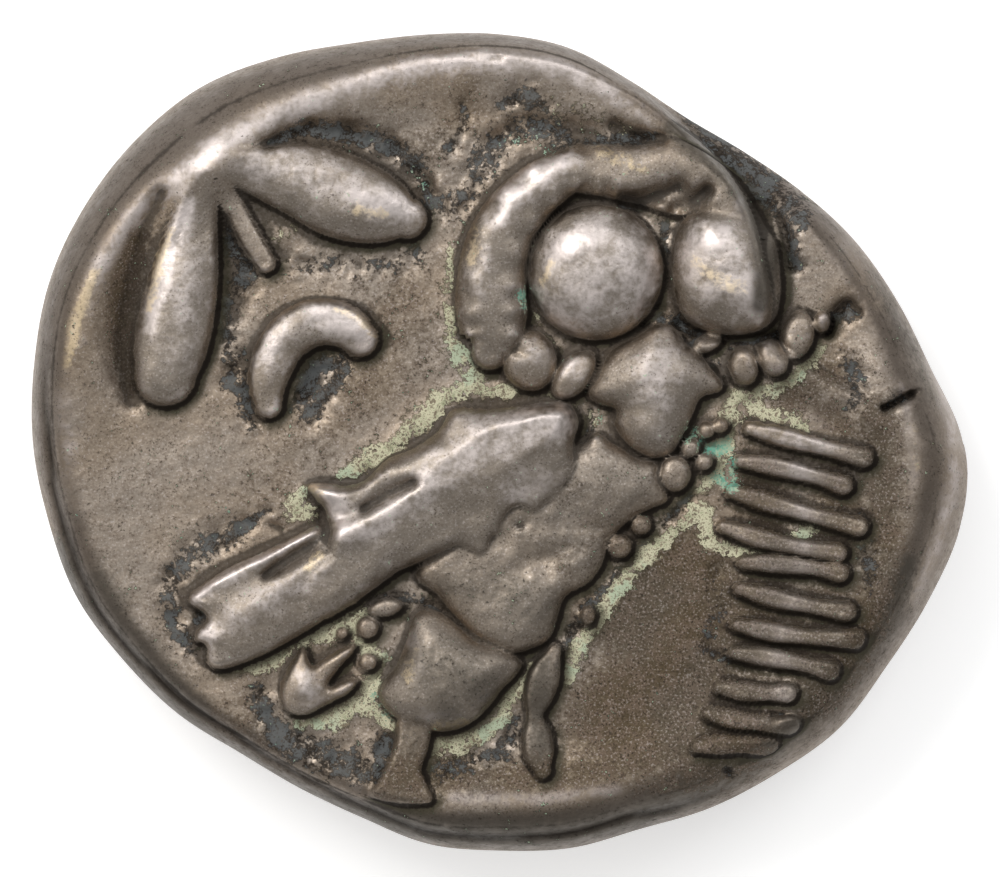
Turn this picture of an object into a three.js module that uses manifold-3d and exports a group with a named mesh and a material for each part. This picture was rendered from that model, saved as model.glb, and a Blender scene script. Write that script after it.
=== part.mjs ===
// A struck silver tetradrachm, worn and toned, lying flat with its owl side up. Millimetres, +Z up.
// The origin is on the surface that it lies on, under the middle of its outline; +X is its long way.
// The flan is one piece of silver, folded over before it was struck: the upper sheet stops short
// at the north-east, and the lower sheet looks out from under it.
import * as THREE from "three";
import { mergeVertices } from "three/addons/utils/BufferGeometryUtils.js";
import Module from "manifold-3d";

const wasm = await Module();
wasm.setup();

// ---- Driving dimensions ----
const FIELD_Z = 4.9; // the flat ground round the owl
const EQUATOR_Z = 2.6; // where the flan is widest
const BACK_Z = 0.75; // the ground round the head on the underside
const BACK_STEP = 0.12; // how far the lower sheet's underside stands back from it
const BACK_EDGE = 1.9; // how far the underside's rounded edge reaches in
const RIM_SLOPE = 1.3; // width of the slope from the rim's crest down to the ground
const FOLD_DROP = 1.35; // how far the lower sheet lies under the upper one at the fold
const FOLD_AT = THREE.MathUtils.degToRad(60); // where the fold's step is deepest
const FOLD_SPREAD = THREE.MathUtils.degToRad(19); // how fast the step dies away round the flan
const SEGMENTS = 64; // flan facets round the outline

// Outline radius every 10 degrees, anticlockwise from +X.
const OUTLINE = [
  11.87, 11.2, 10.8, 10.45, 10.05, 9.73, 9.6, 9.85, 10.26,
  10.46, 10.62, 10.9, 11.4, 11.9, 12.13, 12.24, 12.26, 12.11,
  11.97, 11.74, 11.55, 11.15, 10.8, 10.38, 10.24, 10.25, 10.46,
  10.47, 10.56, 10.55, 10.82, 11.07, 11.38, 11.46, 11.72, 12.0,
];
// The upper sheet's edge leaves the outline between 10 and 70 degrees.
const FOLD_EDGE = [9.6, 7.9, 8.15, 8.66, 9.1, 9.4, 9.8];
const UPPER_OUTLINE = OUTLINE.map((radius, i) => (i >= 1 && i <= 7 ? FOLD_EDGE[i - 1] : radius));
// Elsewhere the lower sheet lies hidden: this far inside the upper one, and this far under it.
const TUCK = 0.35;
const COVER = 0.08;
const LOWER_OUTLINE = OUTLINE.map((radius, i) => (i >= 1 && i <= 7 ? radius : radius - TUCK));

// The rim's crest every 30 degrees: how far in from the outline it stands, and its height over the ground.
const CREST_IN = [1.5, 1.2, 0.8, 0.8, 1.5, 1.4, 0.9, 0.9, 1.0, 1.1, 1.3, 1.5];
const CREST_RISE = [0.3, 0.15, 0.15, 0.25, 0.4, 0.45, 0.25, 0.15, 0.25, 0.4, 0.3, 0.3];

// A dome is [x, y, half length, half width, turn in degrees, rise].
const DOMES = {
  leftEye: [2.43, 4.33, 1.78, 1.78, 0, 1.0],
  rightEye: [5.75, 4.3, 1.42, 1.62, 0, 0.95],
  ruffLobes: [
    [0.72, 2.1, 0.8, 0.72, 110, 0.55],
    [1.88, 1.7, 0.75, 0.48, 48, 0.5],
    [6.2, 1.9, 0.42, 0.53, 10, 0.45],
    [6.95, 2.12, 0.43, 0.53, 15, 0.45],
    [7.6, 2.72, 0.5, 0.65, 0, 0.5],
  ],
  breastDots: [
    [4.45, -0.8, 0.45, 0.5, 0, 0.45],
    [4.85, -0.15, 0.26, 0.26, 0, 0.3],
    [3.62, -2.1, 0.28, 0.28, 0, 0.35],
    [3.05, -2.65, 0.33, 0.33, 0, 0.35],
    [0.5, -2.15, 0.32, 0.32, 0, 0.75],
  ],
  fieldDots: [
    [-3.35, -4.72, 0.31, 0.31, 0, 0.3],
    [-3.35, -5.6, 0.25, 0.25, 0, 0.22],
    [-2.9, -4.2, 0.48, 0.28, 0, 0.25],
  ],
  toes: [
    [1.05, -6.15, 0.5, 0.62, 0, 0.3],
    [1.0, -7.7, 0.48, 0.85, 0, 0.4],
  ],
};

// A ridge is a list of [x, y, half width] along its middle, and a rise.
const RIDGES = {
  upperLeaf: { rise: 0.75, path: [[-7.2, 7.0, 0.7], [-5.8, 6.85, 0.75], [-4.2, 6.3, 1.1], [-2.9, 5.9, 0.85], [-1.85, 5.65, 0.3]] },
  leftLeaf: { rise: 0.7, path: [[-7.6, 6.8, 0.4], [-7.75, 5.5, 0.66], [-8.0, 4.2, 0.9], [-8.25, 2.8, 1.0], [-8.6, 1.0, 0.8]] },
  stem: { rise: 0.35, path: [[-6.9, 6.4, 0.3], [-6.35, 5.5, 0.38], [-5.85, 4.65, 0.35]] },
  crescent: {
    rise: 0.6,
    path: [[-5.85, 0.65, 0.4], [-5.88, 1.7, 0.52], [-5.5, 2.6, 0.58], [-4.8, 3.07, 0.58], [-4.0, 3.0, 0.54], [-3.25, 2.4, 0.45]],
  },
  ruff: {
    rise: 0.85,
    path: [[1.9, 7.0, 0.5], [0.75, 6.35, 0.65], [0.0, 5.4, 0.76], [-0.3, 4.3, 0.82], [-0.3, 3.3, 0.88], [-0.25, 2.4, 0.7]],
  },
  brow: { rise: 0.4, path: [[1.3, 6.9, 0.5], [2.6, 6.75, 0.55], [4.0, 6.85, 0.6], [5.6, 6.3, 0.45]] },
  wingCrest: { rise: 1.1, path: [[1.7, 0.6, 0.4], [0.0, 0.1, 0.55], [-1.5, -0.9, 0.6], [-3.0, -1.85, 0.55], [-4.6, -2.6, 0.4]] },
  wingTip: { rise: 0.8, path: [[-2.2, -0.65, 0.3], [-3.4, -1.25, 0.35], [-4.6, -1.35, 0.4]] },
  tailStrip: { rise: 0.75, path: [[-4.5, -2.2, 0.3], [-6.0, -3.0, 0.36], [-7.75, -3.95, 0.36]] },
  shank: { rise: 0.35, path: [[-2.15, -6.9, 0.4], [-2.2, -7.8, 0.46], [-2.55, -9.3, 0.8]] },
};

// A plate is a smooth outline of [x, y], raised, with its top edge bevelled.
const PLATES = {
  beak: {
    rise: 0.7,
    bevel: 0.18,
    outline: [
      [3.95, 3.0], [2.9, 2.4], [2.25, 1.35], [2.85, 0.8], [3.15, 0.0], [3.95, -0.45],
      [4.65, 0.1], [5.1, 1.1], [5.7, 1.4], [5.1, 2.3], [4.4, 2.95],
    ],
  },
  wing: {
    rise: 0.85,
    bevel: 0.15,
    outline: [
      [2.0, -0.7], [1.95, 0.0], [2.05, 0.5], [1.4, 1.08], [-0.2, 0.9], [-1.2, 0.85], [-1.6, 0.35],
      [-2.9, -0.4], [-3.9, -1.05], [-4.85, -1.1], [-4.5, -1.75], [-4.4, -2.75], [-5.2, -3.6],
      [-4.6, -4.6], [-3.5, -4.0], [-2.6, -3.35], [-1.4, -2.9], [-0.6, -2.98], [-0.1, -2.5],
      [0.2, -2.0], [0.9, -1.9], [1.6, -1.3],
    ],
  },
  tail: {
    rise: 0.68,
    bevel: 0.15,
    outline: [
      [-4.6, -2.0], [-6.0, -2.75], [-7.3, -3.4], [-7.9, -4.0], [-7.5, -4.45], [-7.75, -4.95],
      [-7.45, -5.6], [-6.9, -5.75], [-5.9, -5.4], [-4.2, -4.4], [-3.4, -3.2],
    ],
  },
  breast: {
    rise: 0.58,
    bevel: 0.2,
    outline: [
      [2.2, 0.1], [3.5, -0.35], [4.1, -0.8], [4.2, -1.5], [3.3, -2.05], [2.75, -2.9], [1.7, -3.95],
      [1.4, -4.9], [0.4, -5.5], [-0.9, -4.75], [-2.1, -3.5], [-0.5, -1.5],
    ],
  },
  thigh: {
    rise: 0.75,
    bevel: 0.25,
    outline: [
      [-2.2, -4.4], [-2.5, -5.3], [-3.1, -6.3], [-2.8, -6.95], [-1.9, -7.35], [-1.0, -7.35],
      [-0.1, -6.6], [0.5, -5.8], [0.2, -5.2], [-0.8, -4.6], [-1.6, -4.2],
    ],
  },
  hindClaw: {
    rise: 0.4,
    bevel: 0.12,
    outline: [
      [-5.0, -5.2], [-5.55, -6.1], [-5.3, -6.95], [-4.5, -6.85], [-3.6, -6.2], [-4.2, -6.1],
      [-3.65, -5.15], [-4.65, -5.6],
    ],
  },
};

// The legend's place: rows of plain strokes, each row one below the other along the east rim.
const STROKE_HALF_WIDTH = 0.28;
const STROKE_ROWS = [
  { first: [6.35, 0.35], run: [2.9, -0.75], step: [-0.22, -0.82], count: 4, rise: 0.42 },
  { first: [6.2, -3.0], run: [2.7, -0.45], step: [-0.08, -0.8], count: 4, rise: 0.4 },
  { first: [5.6, -6.2], run: [2.4, -0.25], step: [-0.12, -0.74], count: 3, rise: 0.3 },
];

// The underside, as seen from below with +X to the right: a helmeted head in plain profile, worn low.
const BACK_RIDGES = {
  crest: { rise: 0.55, path: [[4.4, 7.2, 0.5], [1.0, 8.3, 0.7], [-3.0, 7.6, 0.8], [-6.4, 4.9, 0.85], [-8.3, 1.0, 0.85], [-8.6, -3.6, 0.7]] },
  helmetEdge: { rise: 0.95, path: [[4.4, 3.6, 0.35], [1.8, 2.9, 0.42], [-1.4, 1.4, 0.45], [-2.9, -0.9, 0.4]] },
  neckGuard: { rise: 0.8, path: [[-2.7, -0.2, 0.7], [-3.9, -2.6, 0.9], [-4.9, -5.2, 0.8]] },
  neck: { rise: 0.7, path: [[0.4, -2.5, 2.0], [-0.4, -5.0, 1.9], [-1.0, -8.0, 2.6]] },
  hair: { rise: 0.85, path: [[4.5, 2.75, 0.3], [2.6, 2.2, 0.5], [0.9, 1.2, 0.55], [0.1, 0.0, 0.5]] },
  browLine: { rise: 0.8, path: [[4.75, 1.9, 0.2], [4.0, 1.75, 0.28], [3.1, 1.45, 0.2]] },
  eye: { rise: 0.8, path: [[4.5, 0.95, 0.18], [3.9, 0.95, 0.26], [3.2, 0.75, 0.15]] },
  nose: { rise: 0.62, path: [[4.7, 2.1, 0.3], [5.1, 0.9, 0.38], [5.5, -0.35, 0.5]] },
  upperLip: { rise: 0.62, path: [[5.35, -1.35, 0.26], [4.9, -1.4, 0.28], [4.2, -1.6, 0.15]] },
  lowerLip: { rise: 0.6, path: [[5.2, -2.1, 0.26], [4.8, -2.0, 0.28], [4.2, -1.85, 0.15]] },
};
const BACK_DOMES = [
  [-1.3, 4.2, 5.3, 3.6, 12, 1.05], // helmet bowl
  [2.0, -0.9, 3.0, 3.5, 15, 1.0], // cheek
  [3.9, -3.2, 1.15, 0.95, 0, 0.7], // chin
  [0.0, -1.5, 0.45, 0.45, 0, 1.0], // ear stud
];
const HELMET_LEAVES = 3; // small leaves that stand along the helmet's edge
const BACK_FACE = {
  rise: 0.5,
  bevel: 0.3,
  outline: [
    [4.7, 3.4], [4.9, 1.7], [6.0, -0.7], [5.2, -1.2], [5.5, -1.7], [5.4, -2.3], [4.9, -2.7],
    [5.0, -3.6], [4.2, -4.3], [1.6, -4.3], [-1.2, -2.4], [-1.6, 1.5],
  ],
};

// A struck nick in the east rim.
const NICK = { at: [10.15, 0.98], turn: 27, length: 1.0, width: 0.22, depth: 0.5 };

// ---- Surfaces ----
const smooth = (t) => THREE.MathUtils.smoothstep(t, 0, 1);

// Smooth curve through values spaced evenly round the circle, read at an angle.
function around(values, angle) {
  const n = values.length;
  const turn = (((angle / (2 * Math.PI)) % 1) + 1) % 1;
  const at = turn * n;
  const i = Math.floor(at);
  const t = at - i;
  const [a, b, c, d] = [-1, 0, 1, 2].map((k) => values[(i + k + n) % n]);
  return b + 0.5 * t * (c - a + t * (2 * a - 5 * b + 4 * c - d + t * (3 * (b - c) + d - a)));
}

// Quarter-round from 0 at the outline to 1 at a distance of `width` inside it.
function quarterRound(inside, width) {
  const t = THREE.MathUtils.clamp(1 - inside / width, 0, 1);
  return Math.sqrt(1 - t * t);
}

// Height of a sheet's upper face: round at the edge, up to the rim's crest, down a slope to the ground.
function sheetTop(outline, ground, x, y) {
  const angle = Math.atan2(y, x);
  const inside = Math.max(around(outline, angle) - Math.hypot(x, y), 0);
  const crestIn = around(CREST_IN, angle);
  const rise = around(CREST_RISE, angle);
  const slope = 1 - smooth((inside - crestIn) / RIM_SLOPE);
  return EQUATOR_Z + (ground + rise * slope - EQUATOR_Z) * quarterRound(inside, crestIn);
}

const upperTop = (x, y) => sheetTop(UPPER_OUTLINE, FIELD_Z, x, y);

function lowerTop(x, y) {
  const off = (Math.atan2(y, x) - FOLD_AT) / FOLD_SPREAD;
  const drop = COVER + FOLD_DROP * Math.exp(-off * off);
  return sheetTop(LOWER_OUTLINE, FIELD_Z - drop, x, y);
}

const ground = (x, y) => Math.max(upperTop(x, y), lowerTop(x, y));

// Height of a sheet's under face: flat, and rounded up to the edge.
function sheetBack(outline, flat, x, y) {
  const inside = Math.max(around(outline, Math.atan2(y, x)) - Math.hypot(x, y), 0);
  return EQUATOR_Z - (EQUATOR_Z - flat) * quarterRound(inside, BACK_EDGE);
}

const upperBack = (x, y) => sheetBack(UPPER_OUTLINE, BACK_Z, x, y);
const lowerBack = (x, y) => sheetBack(LOWER_OUTLINE, BACK_Z + BACK_STEP, x, y);

// ---- Solids ----
// Moves each vertex of a geometry to where `place` says.
function moved(geometry, place) {
  const position = geometry.attributes.position;
  const vertex = new THREE.Vector3();
  for (let i = 0; i < position.count; i++) {
    vertex.fromBufferAttribute(position, i);
    position.setXYZ(i, ...place(vertex));
  }
  return geometry;
}

// A closed geometry as a manifold-3d solid.
function solid(geometry) {
  geometry.deleteAttribute("normal");
  geometry.deleteAttribute("uv");
  const merged = mergeVertices(geometry, 1e-4);
  const index = merged.index.array;
  const faces = [];
  for (let i = 0; i < index.length; i += 3) {
    const [a, b, c] = index.subarray(i, i + 3);
    if (a !== b && b !== c && c !== a) faces.push(a, b, c);
  }
  return new wasm.Manifold(
    new wasm.Mesh({
      numProp: 3,
      vertProperties: new Float32Array(merged.attributes.position.array),
      triVerts: new Uint32Array(faces),
    }),
  );
}

// A sheet of the flan: a lathed disc of unit radius, drawn out to the outline and to its two faces.
const TOP_RINGS = [1, 0.985, 0.965, 0.94, 0.91, 0.88, 0.84, 0.79, 0.72, 0.45, 0];
const BACK_RINGS = [0, 0.5, 0.83, 0.89, 0.94, 0.98];
function sheet(outline, top, back) {
  const profile = [
    ...BACK_RINGS.map((radius) => new THREE.Vector2(radius, -1)),
    ...TOP_RINGS.map((radius) => new THREE.Vector2(radius, radius < 1 ? 1 : 0)),
  ];
  const disc = new THREE.LatheGeometry(profile, SEGMENTS).rotateX(Math.PI / 2);
  return moved(disc, ({ x, y, z }) => {
    const radius = around(outline, Math.atan2(y, x));
    const face = z > 0.5 ? top : z < -0.5 ? back : () => EQUATOR_Z;
    return [x * radius, y * radius, face(x * radius, y * radius)];
  });
}

// An ellipsoid whose middle lies on the base surface.
function dome([x, y, halfLength, halfWidth, turn, rise], base) {
  const round = Math.max(halfLength, halfWidth) > 0.85 ? 20 : 8;
  const ball = new THREE.SphereGeometry(1, round, round / 2)
    .rotateX(Math.PI / 2)
    .scale(halfLength, halfWidth, rise)
    .rotateZ(THREE.MathUtils.degToRad(turn))
    .translate(x, y, 0);
  return moved(ball, (v) => [v.x, v.y, v.z + base(v.x, v.y)]);
}

// A ball drawn out along a curve: its poles are the ridge's two ends, its rings the cross-sections.
function ridge({ path, rise }, base) {
  const curve = new THREE.CatmullRomCurve3(path.map(([x, y, w]) => new THREE.Vector3(x, y, w)));
  const ball = new THREE.SphereGeometry(1, 8, 5 + path.length);
  return moved(ball, (v) => {
    const fromPole = Math.acos(THREE.MathUtils.clamp(v.y, -1, 1));
    const t = fromPole / Math.PI;
    const ringRadius = Math.hypot(v.x, v.z);
    const middle = curve.getPoint(t);
    if (ringRadius < 1e-6) return [middle.x, middle.y, base(middle.x, middle.y)];
    const along = curve.getTangent(t);
    const length = Math.hypot(along.x, along.y);
    const end = Math.sqrt(1 - (2 * t - 1) ** 6); // full width, rounded off at both ends
    const across = ((v.x / ringRadius) * middle.z * end) / length;
    const x = middle.x + along.y * across;
    const y = middle.y - along.x * across;
    return [x, y, base(x, y) - (v.z / ringRadius) * rise * end];
  });
}

// A smooth outline raised over the base, with a bevelled top edge.
function plate({ outline, rise, bevel }, base) {
  const rounded = new THREE.CatmullRomCurve3(
    outline.map(([x, y]) => new THREE.Vector3(x, y, 0)),
    true,
  );
  const shape = new THREE.Shape(rounded.getPoints(outline.length * 2).slice(0, -1));
  const depth = 2 * rise - bevel;
  const slab = new THREE.ExtrudeGeometry(shape, {
    depth,
    bevelThickness: bevel,
    bevelSize: bevel,
    bevelOffset: -bevel,
    bevelSegments: 1,
  }).translate(0, 0, rise - bevel - depth);
  return moved(slab, (v) => [v.x, v.y, v.z + base(v.x, v.y)]);
}

function flan() {
  const upper = sheet(UPPER_OUTLINE, upperTop, upperBack);
  const lower = sheet(LOWER_OUTLINE, lowerTop, lowerBack);
  return solid(upper).add(solid(lower));
}

function strokes() {
  return STROKE_ROWS.flatMap(({ first, run, step, count, rise }) =>
    Array.from({ length: count }, (_, i) => {
      const [x, y] = [first[0] + i * step[0], first[1] + i * step[1]];
      const path = [0, 1].map((t) => [x + t * run[0], y + t * run[1], STROKE_HALF_WIDTH]);
      return ridge({ path, rise }, ground);
    }),
  );
}

function owlSide() {
  return [
    ...Object.values(DOMES).flatMap((d) => (Array.isArray(d[0]) ? d : [d])).map((d) => dome(d, ground)),
    ...Object.values(RIDGES).map((r) => ridge(r, ground)),
    ...Object.values(PLATES).map((p) => plate(p, ground)),
    ...strokes(),
  ];
}

// The head is modelled face up over a flat base and then turned over onto the underside.
function headSide() {
  const flat = () => -BACK_Z;
  const leaves = Array.from({ length: HELMET_LEAVES }, (_, i) => {
    const [x, y] = [2.6 - 1.5 * i, 3.5 - 0.55 * i];
    return { rise: 1.15, path: [[x, y, 0.22], [x - 0.3, y + 0.9, 0.36], [x - 0.3, y + 1.8, 0.16]] };
  });
  const relief = [
    plate(BACK_FACE, flat),
    ...Object.values(BACK_RIDGES).map((r) => ridge(r, flat)),
    ...leaves.map((r) => ridge(r, flat)),
    ...BACK_DOMES.map((d) => dome(d, flat)),
  ];
  return relief.map((geometry) => geometry.rotateX(Math.PI));
}

function nick() {
  const { at, turn, length, width, depth } = NICK;
  const wedge = new THREE.CylinderGeometry(width * 2, width * 0.4, depth * 4, 4)
    .rotateY(Math.PI / 4)
    .rotateX(Math.PI / 2)
    .scale(length / (width * 2.8), 1 / 2.8, 1)
    .rotateZ(THREE.MathUtils.degToRad(turn));
  return wedge.translate(at[0], at[1], ground(...at) + depth);
}

// Everything below the resting plane is worn away.
function belowRest() {
  return new THREE.BoxGeometry(40, 40, 4).translate(0, 0, -2);
}

const relief = [...owlSide(), ...headSide()].map(solid);
const raised = relief.reduce((whole, figure) => whole.add(figure), flan());
const struck = raised.subtract(solid(nick())).subtract(solid(belowRest()));

function toGeometry(made) {
  const mesh = made.getMesh();
  return new THREE.BufferGeometry()
    .setAttribute("position", new THREE.BufferAttribute(new Float32Array(mesh.vertProperties), 3))
    .setIndex(new THREE.BufferAttribute(new Uint32Array(mesh.triVerts), 1));
}

const tonedSilver = new THREE.MeshStandardMaterial({
  color: new THREE.Color(0.47, 0.42, 0.38),
  roughness: 0.42,
  metalness: 0.9,
});

const coin = new THREE.Mesh(toGeometry(struck), tonedSilver);
coin.name = "tetradrachm";
coin.geometry.computeBoundingBox();
const middle = coin.geometry.boundingBox.getCenter(new THREE.Vector3());
coin.geometry.translate(-middle.x, -middle.y, 0);
coin.geometry.computeVertexNormals();

const object = new THREE.Group();
object.add(coin);

export default object;
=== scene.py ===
"""A worn silver tetradrachm lying with its owl side up, dressed over its frame as a Blender add-on.

The coin is one closed surface. Its two faces are heights over the plan, z = f(x, y), worked out in
millimetres as whole arrays: the flan's rounded sheets first, then every raised figure joined on by a
smooth maximum.
"""
import math

import bpy
import numpy as np
from bpy.props import FloatProperty, FloatVectorProperty, PointerProperty
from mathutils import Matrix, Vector


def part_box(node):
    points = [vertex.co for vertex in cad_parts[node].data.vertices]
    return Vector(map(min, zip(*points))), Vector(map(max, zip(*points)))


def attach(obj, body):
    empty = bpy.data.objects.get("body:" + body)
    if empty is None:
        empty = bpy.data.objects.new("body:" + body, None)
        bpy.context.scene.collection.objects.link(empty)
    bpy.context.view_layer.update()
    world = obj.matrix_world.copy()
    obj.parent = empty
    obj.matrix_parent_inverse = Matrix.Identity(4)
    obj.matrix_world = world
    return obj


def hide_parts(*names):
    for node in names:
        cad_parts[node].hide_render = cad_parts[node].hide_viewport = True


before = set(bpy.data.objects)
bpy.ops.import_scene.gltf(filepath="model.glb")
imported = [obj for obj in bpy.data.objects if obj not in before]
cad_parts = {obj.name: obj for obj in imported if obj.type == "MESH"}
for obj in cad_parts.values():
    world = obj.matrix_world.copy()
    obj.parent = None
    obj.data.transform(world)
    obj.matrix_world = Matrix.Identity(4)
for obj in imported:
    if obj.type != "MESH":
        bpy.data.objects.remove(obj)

bl_info = {
    "name": "Silver Tetradrachm",
    "version": (1, 0, 0),
    "blender": (4, 5, 0),
    "location": "View3D > Sidebar > Coin",
    "description": "Builds a worn silver owl coin and the small studio it lies in",
    "category": "Add Mesh",
}

MM = 0.001
NODE = "tetradrachm"
BOX = np.array(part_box(NODE)) / MM  # the frame's lowest and highest corner
THICKNESS = BOX[1, 2]

# ---- The flan, in millimetres ----
EQUATOR = 2.6  # height of the widest line round the edge
UNDER = 0.75  # the ground round the head on the underside
BACK_WEAR = 0.72  # what wear has left of the underside's relief
UNDER_EDGE = 1.9  # reach of the underside's rounded edge
RIM_SLOPE = 1.6  # from the rim's crest down to the ground
SHEET_STEP = 0.08  # how far the lower sheet lies under the upper one all round
# Where the fold stands open, as from, to and softness in degrees, and how far the lower sheet drops there.
FOLD_DROPS = [((39, 68, 9), 1.25), ((12, 39, 14), 0.22)]
FOLD_TIGHT = ((22, 72, 16), 0.5)  # where the upper sheet's rim is narrower, and by how much
EDGE_TURN = math.radians(63)  # how far up the edge's quarter circle its rings reach
TOP_RINGS, UNDER_RINGS = 10, 7  # rings round the edge above and below the equator

# Outline radius every 10 degrees, anticlockwise from +X.
OUTLINE = np.array([
    11.87, 11.2, 10.8, 10.45, 10.05, 9.73, 9.6, 9.85, 10.26,
    10.46, 10.62, 10.9, 11.4, 11.9, 12.13, 12.24, 12.26, 12.11,
    11.97, 11.74, 11.55, 11.15, 10.8, 10.38, 10.24, 10.25, 10.46,
    10.47, 10.56, 10.55, 10.82, 11.07, 11.38, 11.46, 11.72, 12.0,
])
# The upper sheet's edge leaves the outline between 10 and 70 degrees.
UPPER_OUTLINE = OUTLINE.copy()
UPPER_OUTLINE[1:8] = [9.6, 7.9, 8.15, 8.66, 9.1, 9.4, 9.8]

# The rim's crest every 15 degrees: how far in it stands, and its height over the ground.
CREST_IN = np.array([
    1.5, 1.2, 0.9, 0.65, 0.6, 0.6, 0.7, 0.95, 1.4, 1.55, 1.3, 1.05,
    1.15, 1.1, 1.0, 0.85, 0.85, 1.0, 1.25, 1.35, 1.45, 1.4, 1.4, 1.45,
])
CREST_RISE = np.array([
    0.2, 0.2, 0.15, 0.1, 0.12, 0.2, 0.25, 0.25, 0.3, 0.35, 0.35, 0.3,
    0.12, 0.05, 0.02, 0.05, 0.12, 0.18, 0.22, 0.22, 0.2, 0.16, 0.16, 0.18,
])

# ---- The owl side's figures ----
# A plate is its rise, how wide its rounded edge is, and its closed outline.
PLATES = {
    "beak": (0.6, 0.8, [(3.95, 3.0), (3.3, 2.65), (2.75, 2.3), (2.35, 1.7), (2.2, 1.25), (2.5, 0.95),
        (2.9, 0.8), (2.9, 0.4), (3.15, 0.0), (3.5, -0.3), (3.95, -0.45), (4.4, -0.3), (4.7, 0.15),
        (4.95, 0.7), (5.15, 1.1), (5.6, 1.25), (5.7, 1.5), (5.45, 1.85), (5.1, 2.3), (4.7, 2.6),
        (4.4, 2.95)]),
    "right_eye": (0.85, 1.25, [(4.33, 4.6), (4.35, 3.9), (4.65, 3.2), (5.2, 2.8), (5.9, 2.68), (6.6, 2.8),
        (7.05, 3.15), (7.2, 3.8), (7.15, 4.6), (6.95, 5.3), (6.4, 5.95), (5.7, 6.1), (4.9, 5.95),
        (4.5, 5.4)]),
    "forehead": (0.5, 0.6, [(1.6, 7.45), (2.4, 7.6), (3.3, 7.55), (4.2, 7.75), (5.1, 7.6), (5.9, 6.95),
        (6.5, 6.1), (6.95, 5.2), (7.1, 4.4), (7.0, 3.6), (6.4, 3.4), (6.0, 4.5), (5.4, 5.6), (4.4, 5.75),
        (3.6, 6.0), (2.6, 6.2), (1.4, 6.5)]),
    "wing": (0.8, 0.42, [(2.0, -0.7), (1.95, 0.0), (2.05, 0.5), (1.85, 0.95), (1.4, 1.08), (0.7, 1.0),
        (-0.2, 0.9), (-1.2, 0.85), (-1.6, 0.35), (-2.2, -0.1), (-2.9, -0.4), (-3.4, -0.9), (-3.9, -1.05),
        (-4.4, -1.0), (-4.85, -1.05), (-4.8, -1.35), (-4.5, -1.75), (-4.45, -2.3), (-4.4, -2.75),
        (-5.0, -3.3), (-5.1, -4.0), (-4.6, -4.6), (-3.5, -4.0), (-2.6, -3.35), (-2.0, -3.1), (-1.4, -2.9),
        (-1.0, -2.75), (-0.6, -2.98), (-0.25, -2.85), (-0.1, -2.5), (0.1, -2.4), (0.2, -2.0), (0.5, -1.75),
        (0.9, -1.9), (1.3, -1.6), (1.7, -1.2)]),
    "tail": (0.66, 0.3, [(-4.5, -2.05), (-5.2, -2.35), (-6.0, -2.75), (-6.7, -3.05), (-7.3, -3.4),
        (-7.85, -3.8), (-7.9, -4.1), (-7.5, -4.45), (-7.75, -4.8), (-7.75, -5.05), (-7.5, -5.2),
        (-7.45, -5.6), (-7.2, -5.8), (-6.7, -5.72), (-5.9, -5.4), (-5.0, -4.9), (-4.2, -4.4), (-3.5, -4.0),
        (-3.4, -3.2), (-3.9, -2.4)]),
    "breast": (0.5, 0.6, [(2.2, 0.1), (2.9, 0.0), (3.5, -0.35), (4.0, -0.5), (4.15, -1.0), (4.3, -1.5),
        (3.8, -1.75), (3.3, -2.05), (2.85, -2.5), (2.65, -3.1), (2.3, -3.6), (1.7, -3.95), (1.5, -4.5),
        (1.3, -5.0), (0.8, -5.3), (0.2, -5.4), (-0.5, -5.1), (-0.9, -4.75), (-1.3, -4.3), (-1.6, -3.9),
        (-2.1, -3.5), (-2.0, -3.0), (-0.5, -1.5)]),
    "thigh": (0.62, 0.75, [(-2.2, -4.4), (-2.4, -5.0), (-2.65, -5.6), (-3.0, -6.1), (-3.1, -6.5),
        (-2.8, -6.95), (-2.3, -7.25), (-1.7, -7.4), (-1.1, -7.35), (-0.6, -7.1), (-0.2, -6.7), (0.1, -6.3),
        (0.4, -6.0), (0.6, -5.6), (0.1, -5.15), (-0.6, -4.95), (-1.3, -4.4), (-1.8, -4.2)]),
    "hind_claw": (0.4, 0.3, [(-5.05, -5.2), (-5.4, -5.7), (-5.6, -6.2), (-5.55, -6.7), (-5.25, -6.95),
        (-4.85, -6.95), (-4.35, -6.7), (-3.8, -6.4), (-3.6, -6.1), (-3.85, -6.0), (-4.3, -6.15),
        (-4.0, -5.7), (-3.72, -5.4), (-3.65, -5.12), (-4.0, -5.2), (-4.5, -5.5), (-4.75, -5.62),
        (-4.9, -5.3)]),
    "shank": (0.3, 0.2, [(-2.6, -6.9), (-2.7, -7.6), (-2.88, -8.1), (-3.1, -8.6), (-3.3, -9.1),
        (-1.75, -9.2), (-1.85, -8.6), (-1.95, -8.3), (-1.78, -7.8), (-1.72, -7.2), (-2.1, -6.9)]),
}

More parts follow.
